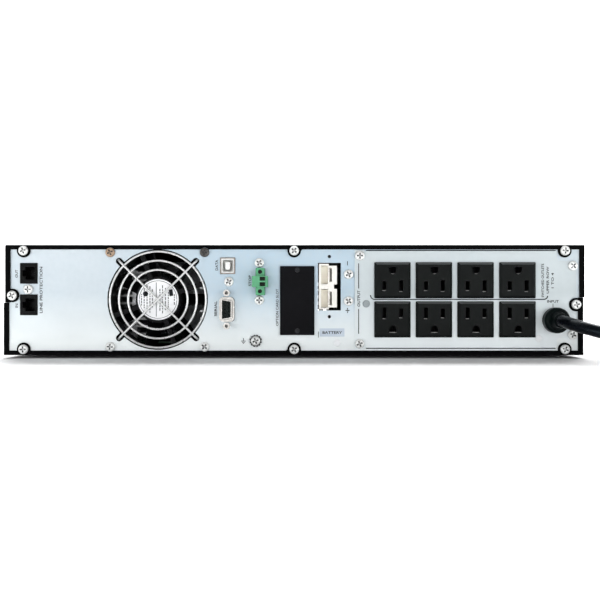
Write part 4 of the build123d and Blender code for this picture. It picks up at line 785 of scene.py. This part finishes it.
def make_guard():
    """Bright wire rings on two crossing spokes."""
    centre = node_centre("fan_guard")
    wire = 0.8 * MM
    ring_y = PANEL_Y + 1.55 * MM
    spoke_y = PANEL_Y + 0.75 * MM
    mesh_data = bmesh.new()
    steps, sides = 120, 12
    for radius in RING_RADII:
        rings = []
        for step in range(steps):
            angle = 2 * math.pi * step / steps
            ring = []
            for side in range(sides):
                turn = 2 * math.pi * side / sides
                reach = radius * MM + wire * math.cos(turn)
                ring.append(mesh_data.verts.new((centre.x + reach * math.cos(angle), ring_y + wire * math.sin(turn),
                                                 centre.z + reach * math.sin(angle))))
            rings.append(ring)
        for step in range(steps):
            one, other = rings[step], rings[(step + 1) % steps]
            for side in range(sides):
                following = (side + 1) % sides
                mesh_data.faces.new((one[side], one[following], other[following], other[side]))
    for degrees in (45, 135):
        direction = Vector((math.cos(math.radians(degrees)), 0, math.sin(math.radians(degrees))))
        points = []
        for reach, drop in ((-SPOKE_REACH, 2.0), (-SPOKE_REACH + 1.2, 1.5), (-SPOKE_REACH + 3.2, 0.0), (-20, 0.0),
                            (0, 0.0), (20, 0.0), (SPOKE_REACH - 3.2, 0.0), (SPOKE_REACH - 1.2, 1.5),
                            (SPOKE_REACH, 2.0)):
            points.append(Vector((centre.x, spoke_y + drop * MM, centre.z)) + direction * reach * MM)
        tube(mesh_data, points, wire, sides)
    bmesh.ops.recalc_face_normals(mesh_data, faces=mesh_data.faces)
    guard = piece_from("guard_wires", mesh_data, "wire", "chassis")
    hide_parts("fan_guard")


def make_hub_label():
    """A paper disc on the motor, with generic print: a few lines, bars and a mark."""
    x, height = place_of("fan_guard")
    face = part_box("fan_frame")[0].y
    mesh_data = bmesh.new()
    plate(mesh_data, arc_points(x, height, LABEL_R, 0, 354, 60), face, face - SKIN)
    paper = piece_from("hub_label", mesh_data, "fan_label", "chassis", smooth=False)
    top = face - SKIN
    mesh_data = bmesh.new()
    for offset, tall in ((-12.6, 9.0), (-10.6, 13.0), (-8.4, 18.0), (-6.2, 20.0), (-4.4, 12.0), (1.4, 17.0),
                         (3.4, 21.0), (5.6, 16.0), (7.8, 12.0), (12.4, 8.0)):
        cursor = -tall / 2
        while cursor < tall / 2:
            run = random.uniform(0.8, 2.4)
            bar(mesh_data, x + offset, height + cursor + run / 2, 0.65, run, top)
            cursor += run + random.uniform(0.4, 0.9)
    bar(mesh_data, x - 1.4, height, 0.45, 26.0, top)
    for start in (0, 180):
        stroke(mesh_data, arc_points(x, height, 14.3, start, start + 178, 40), 0.35, top)
    lines = piece_from("hub_label_print", mesh_data, "faint_ink", "chassis", smooth=False)
    mesh_data = bmesh.new()
    plate(mesh_data, arc_points(x - 9.6, height + 4.4, 2.0, 0, 324, 10), top, top - SKIN)
    plate(mesh_data, [(x + 8.8, height + 2.4), (x + 11.6, height + 3.0), (x + 10.9, height + 8.0),
                      (x + 8.1, height + 7.4)], top, top - SKIN)
    marks = piece_from("hub_label_marks", mesh_data, "ink", "chassis", smooth=False)


# ---------------------------------------------------------------- legends, lines and small inserts
LEGENDS = (                                       # words, node, steps across and up from it, height and length
    ("OUT", "line_jack_upper", -9.3, -0.3, 1.9, 6.0),
    ("IN", "line_jack_lower", -9.3, -0.7, 1.9, 3.0),
    ("LINE PROTECTION", "line_jack_upper", 9.3, -12.6, 2.1, 35.1),
    ("DATA", "data_port_shell", -8.3, 0.5, 1.9, 8.0),
    ("SERIAL", "serial_port_shell", -8.6, 0.6, 1.9, 11.4),
    ("STOP", "terminal_plug", -8.0, 0.8, 1.9, 8.2),
    ("OPTION CARD SLOT", "card_slot_cover", -15.2, -5.1, 1.9, 28.1),
)
PLATE_LEGENDS = (
    ("OUTPUT", "outlet_1", -25.4, -13.9, 2.0, 12.3),
    ("SWITCHED OUTLETS", "outlet_4", 19.3, -0.2, 1.8, 25.4),
    ("UPPER ROW", "outlet_4", 23.1, 0.2, 1.8, 20.3),
    ("1 TO 4", "outlet_4", 26.8, -0.2, 1.8, 11.6),
)


def turned_legends(mesh_data, legends, face):
    """Words that read upwards, beside the pieces that they name."""
    for words, node, across, up, tall, long in legends:
        x, height = place_of(node)
        letters(mesh_data, words, x + across, height + up, tall, face, True, long)


def make_panel_print():
    mesh_data = bmesh.new()
    face = PANEL_Y
    turned_legends(mesh_data, LEGENDS, face)
    # polarity signs beside the battery connector: an upright minus above, a plus below
    x, height = place_of("battery_connector")
    sign_x, minus_h, plus_h = x + 14.8, height + 17.7, height - 18.1
    bar(mesh_data, sign_x, minus_h, 0.5, 3.2, face)
    bar(mesh_data, sign_x, plus_h, 3.0, 0.6, face)
    for side in (1, -1):
        bar(mesh_data, sign_x, plus_h + side * 1.25, 0.6, 1.2, face)
    # earth sign: a stem over three shortening bars
    x, height = place_of("ground_screw")
    earth_x, earth_h = x - 9.3, height - 0.2
    bar(mesh_data, earth_x, earth_h + 1.25, 0.5, 1.9, face)
    for row, width in enumerate((3.6, 2.3, 1.0)):
        bar(mesh_data, earth_x, earth_h - row * 0.95, width, 0.5, face)
    printed = piece_from("panel_print", mesh_data, "ink", "chassis", smooth=False)


def make_plate_print():
    mesh_data = bmesh.new()
    face = PLATE_Y
    turned_legends(mesh_data, PLATE_LEGENDS, face)
    # a line above and below OUTPUT
    first_x, first_h = place_of("outlet_1")
    last_x = place_of("outlet_4")[0]
    for step, tall in ((3.3, 19.0), (-31.1, 18.8)):
        bar(mesh_data, first_x - 25.5, first_h + step, 0.6, tall, face)
    # INPUT and its tick over the cord
    x, height = place_of("strain_relief")
    letters(mesh_data, "INPUT", x - 1.5, height + 14.3, 1.9, face, long=8.8)
    bar(mesh_data, x - 1.5, height + 11.2, 0.4, 2.7, face)
    # the line under the upper row, turned up at both ends
    corner, level = 3.2, first_h - 14.5
    bracket = arc_points(first_x - 13.3, level + corner, corner, 180, 270, 8)
    bracket += [(last_x + 19.9, level)] + arc_points(last_x + 20.0, level + corner, corner, 270, 350, 8)[1:]
    stroke(mesh_data, bracket, 0.8, face)
    printed = piece_from("plate_print", mesh_data, "ink", "chassis", smooth=False)


def make_battery_label():
    face = PANEL_Y
    x, height = place_of("battery_connector")
    x, height = x + 3.05, height - 34.8
    half_long, half_tall = 9.45, 3.1
    mesh_data = bmesh.new()
    bar(mesh_data, x, height, half_long * 2, half_tall * 2, face)
    film = piece_from("battery_label", mesh_data, "label", "chassis", smooth=False)
    mesh_data = bmesh.new()
    letters(mesh_data, "BATTERY", x + 0.25, height, 2.0, face - SKIN, long=14.8)
    bar(mesh_data, x - half_long - 0.8, height - 1.55, 0.4, 4.5, face)
    words = piece_from("battery_label_print", mesh_data, "ink", "chassis", smooth=False)


def make_battery_blades():
    """The spring contact in each cavity of the battery connector, set back from its face."""
    x, height = place_of("battery_connector")
    set_back, thick = 4.2 * MM, 0.8 * MM
    pole_pitch = 17.8
    mesh_data = bmesh.new()
    for pole in (-0.5, 0.5):
        bar(mesh_data, x - 2.6, height + pole * pole_pitch, 4.9, 13.4, PANEL_Y + set_back, thick)
    blades = piece_from("battery_blades", mesh_data, "blade", "chassis", smooth=False)


def make_plate_details():
    """Painted shade: dark strips along the plate's long edges, where the gaps to the flanges lie in shade; a grey and
    two white button plugs.
    """
    face = PLATE_Y
    fold_x, fold_long = 126.2, 143.6
    gap_shade_width, fold, fold_in = 0.7, 0.35, 0.95         # widths, and the fold's place in from the plate's edge
    mesh_data = bmesh.new()
    for height in (plate_top() - gap_shade_width / 2, plate_bottom() + gap_shade_width / 2):
        bar(mesh_data, fold_x, height, fold_long, gap_shade_width, face)
    gap_shade = piece_from("plate_gap_shade", mesh_data, "gap", "chassis", smooth=False)
    mesh_data = bmesh.new()
    for height in (plate_top() - fold_in, plate_bottom() + fold_in):
        bar(mesh_data, fold_x, height, fold_long, fold, face, 0.3 * MM)
    folds = piece_from("plate_folds", mesh_data, "plate", "chassis", smooth=False)
    for name, finish, near, across, up, radius, face in (
            ("grey_plug", "grey", "outlet_1", -19.7, -17.8, 2.8, PLATE_Y),
            ("white_plug", "white", "outlet_8", 16.2, -14.4, 2.6, PLATE_Y),
            ("panel_plug", "white", "battery_connector", 6.9, -42.8, 2.8, PANEL_Y)):
        x, height = place_of(near)
        x, height = x + across, height + up
        mesh_data = bmesh.new()
        profile = [(radius * MM, 0.0), (radius * MM, 0.35 * MM), ((radius - 0.35) * MM, 0.7 * MM),
                   ((radius - 1.0) * MM, 0.82 * MM), (0.6 * MM, 0.85 * MM)]
        revolve_profile(mesh_data, profile, at(x, height, face))
        plug = piece_from(name, mesh_data, finish, "chassis")


def plate_top():
    return (plate_high.z - BASE_Z) / MM


def plate_bottom():
    return (plate_low.z - BASE_Z) / MM


def make_outlet_contacts_and_glints():
    """A contact leaf across the foot of each blade slot, its grey partly a painted glint, and a bar of painted
    highlight on the lip of each ground hole.
    """
    half_pitch, slot_up = 6.35, 4.5               # the blade slots' places either side of and above the middle
    leaf_face, leaf_deep = 1.3 * MM, 8.0 * MM
    lip_face, lip_deep = 0.8 * MM, 5.2 * MM
    mesh_data = bmesh.new()
    for number in range(1, 9):
        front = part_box(f"outlet_{number}")[0].y
        x, height = place_of(f"outlet_{number}")
        up = -1 if number <= 4 else 1              # the upper row is turned round
        for side, tall in ((-half_pitch * up, 8.6), (half_pitch * up, 7.2)):
            bar(mesh_data, x + side, height + up * slot_up - tall / 2 + 0.3, 2.4, 0.5,
                front + leaf_face + leaf_deep, leaf_deep)
        # painted highlight: a grey bar for the light caught on each ground hole's lip
        width, lip_h = (4.8, height - 9.8) if up > 0 else (2.4, height + 4.85)
        bar(mesh_data, x, lip_h, width, 0.35, front + lip_face + lip_deep, lip_deep)
    contacts_and_glints = piece_from("outlet_contacts_and_glints", mesh_data, "glint", "chassis", smooth=False)


# ---------------------------------------------------------------- front display
def make_front_marks():
    """Lit bars and figures behind the window. They face +Y."""
    low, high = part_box("display_window")
    mesh_data = bmesh.new()
    face = low.y - 0.06 * MM
    middle = (low + high) / 2

    def block(dx, dz, width, tall):
        corners = [(dx - width / 2, dz - tall / 2), (dx + width / 2, dz - tall / 2),
                   (dx + width / 2, dz + tall / 2), (dx - width / 2, dz + tall / 2)]
        for y in (face, face + 0.05 * MM):
            ring = [mesh_data.verts.new((middle.x + cx * MM, y, middle.z + cz * MM)) for cx, cz in corners]
            mesh_data.faces.new(ring if y > face else ring[::-1])

    for column in range(2):                        # two bar graphs
        for row in range(5):
            block(15.0 - column * 30.0, -6.0 + row * 3.0, 6.0, 1.8)
    for figure in range(3):                        # three figures of seven strokes, all but one lit
        x = 5.5 - figure * 5.5
        for dx, dz, width, tall in ((0, 3.4, 2.4, 0.6), (0, 0, 2.4, 0.6), (0, -3.4, 2.4, 0.6),
                                    (-1.6, 1.7, 0.6, 2.8), (1.6, 1.7, 0.6, 2.8), (1.6, -1.7, 0.6, 2.8)):
            block(x + dx, dz, width, tall)
    lit = piece_from("display_segments", mesh_data, "segments", "display", smooth=False)


# ---------------------------------------------------------------- floor
def make_floor():
    wall = bpy.data.meshes.new("backdrop")
    mesh_data = bmesh.new()
    wall_y, wall_half, wall_foot, wall_top = 3.0, 14.0, -0.01, 8.0
    mesh_data.faces.new([mesh_data.verts.new((x, wall_y, z)) for x, z in (
        (-wall_half, wall_foot), (wall_half, wall_foot), (wall_half, wall_top), (-wall_half, wall_top))])
    mesh_data.to_mesh(wall)
    mesh_data.free()
    glow = Surface("backdrop_white", (0.95, 0.95, 0.95), 0.9).mottle(1.0, (0.97, 0.97, 0.97))
    glow.shader.inputs["Emission Color"].default_value = (1, 1, 1, 1)
    glow.shader.inputs["Emission Strength"].default_value = 1.0
    wall.materials.append(glow.material)
    backdrop = bpy.data.objects.new("backdrop", wall)
    bpy.context.scene.collection.objects.link(backdrop)
    mesh_data = bmesh.new()
    extent = 60.0
    corners = [mesh_data.verts.new((x, y, -0.05 * MM))
               for x, y in ((-extent, -extent), (extent, -extent), (extent, extent), (-extent, extent))]
    mesh_data.faces.new(corners)
    mesh = bpy.data.meshes.new("floor")
    mesh_data.to_mesh(mesh)
    mesh_data.free()
    pale = Surface("pale_floor", (0.93, 0.93, 0.935), 0.75).mottle(0.9, (0.96, 0.96, 0.96)).gloss(0.3, 0.7, 0.85)
    # far behind the object the floor glows like the backdrop, so no horizon shows
    far = pale.spread(pale.nearer((0, 0, 0), 1.6, 0.8), 0.8, 0.0, 0.0, 1.0)
    pale.shader.inputs["Emission Color"].default_value = (1, 1, 1, 1)
    pale.tree.links.new(far, pale.shader.inputs["Emission Strength"])
    mesh.materials.append(pale.material)
    floor = bpy.data.objects.new("floor", mesh)
    bpy.context.scene.collection.objects.link(floor)


make_camera()
make_lights()
make_world()
finish_nodes()
make_guard()
make_hub_label()
make_panel_print()
make_plate_print()
make_battery_label()
make_battery_blades()
make_plate_details()
make_outlet_contacts_and_glints()
make_front_marks()
make_input_cord()
make_floor()
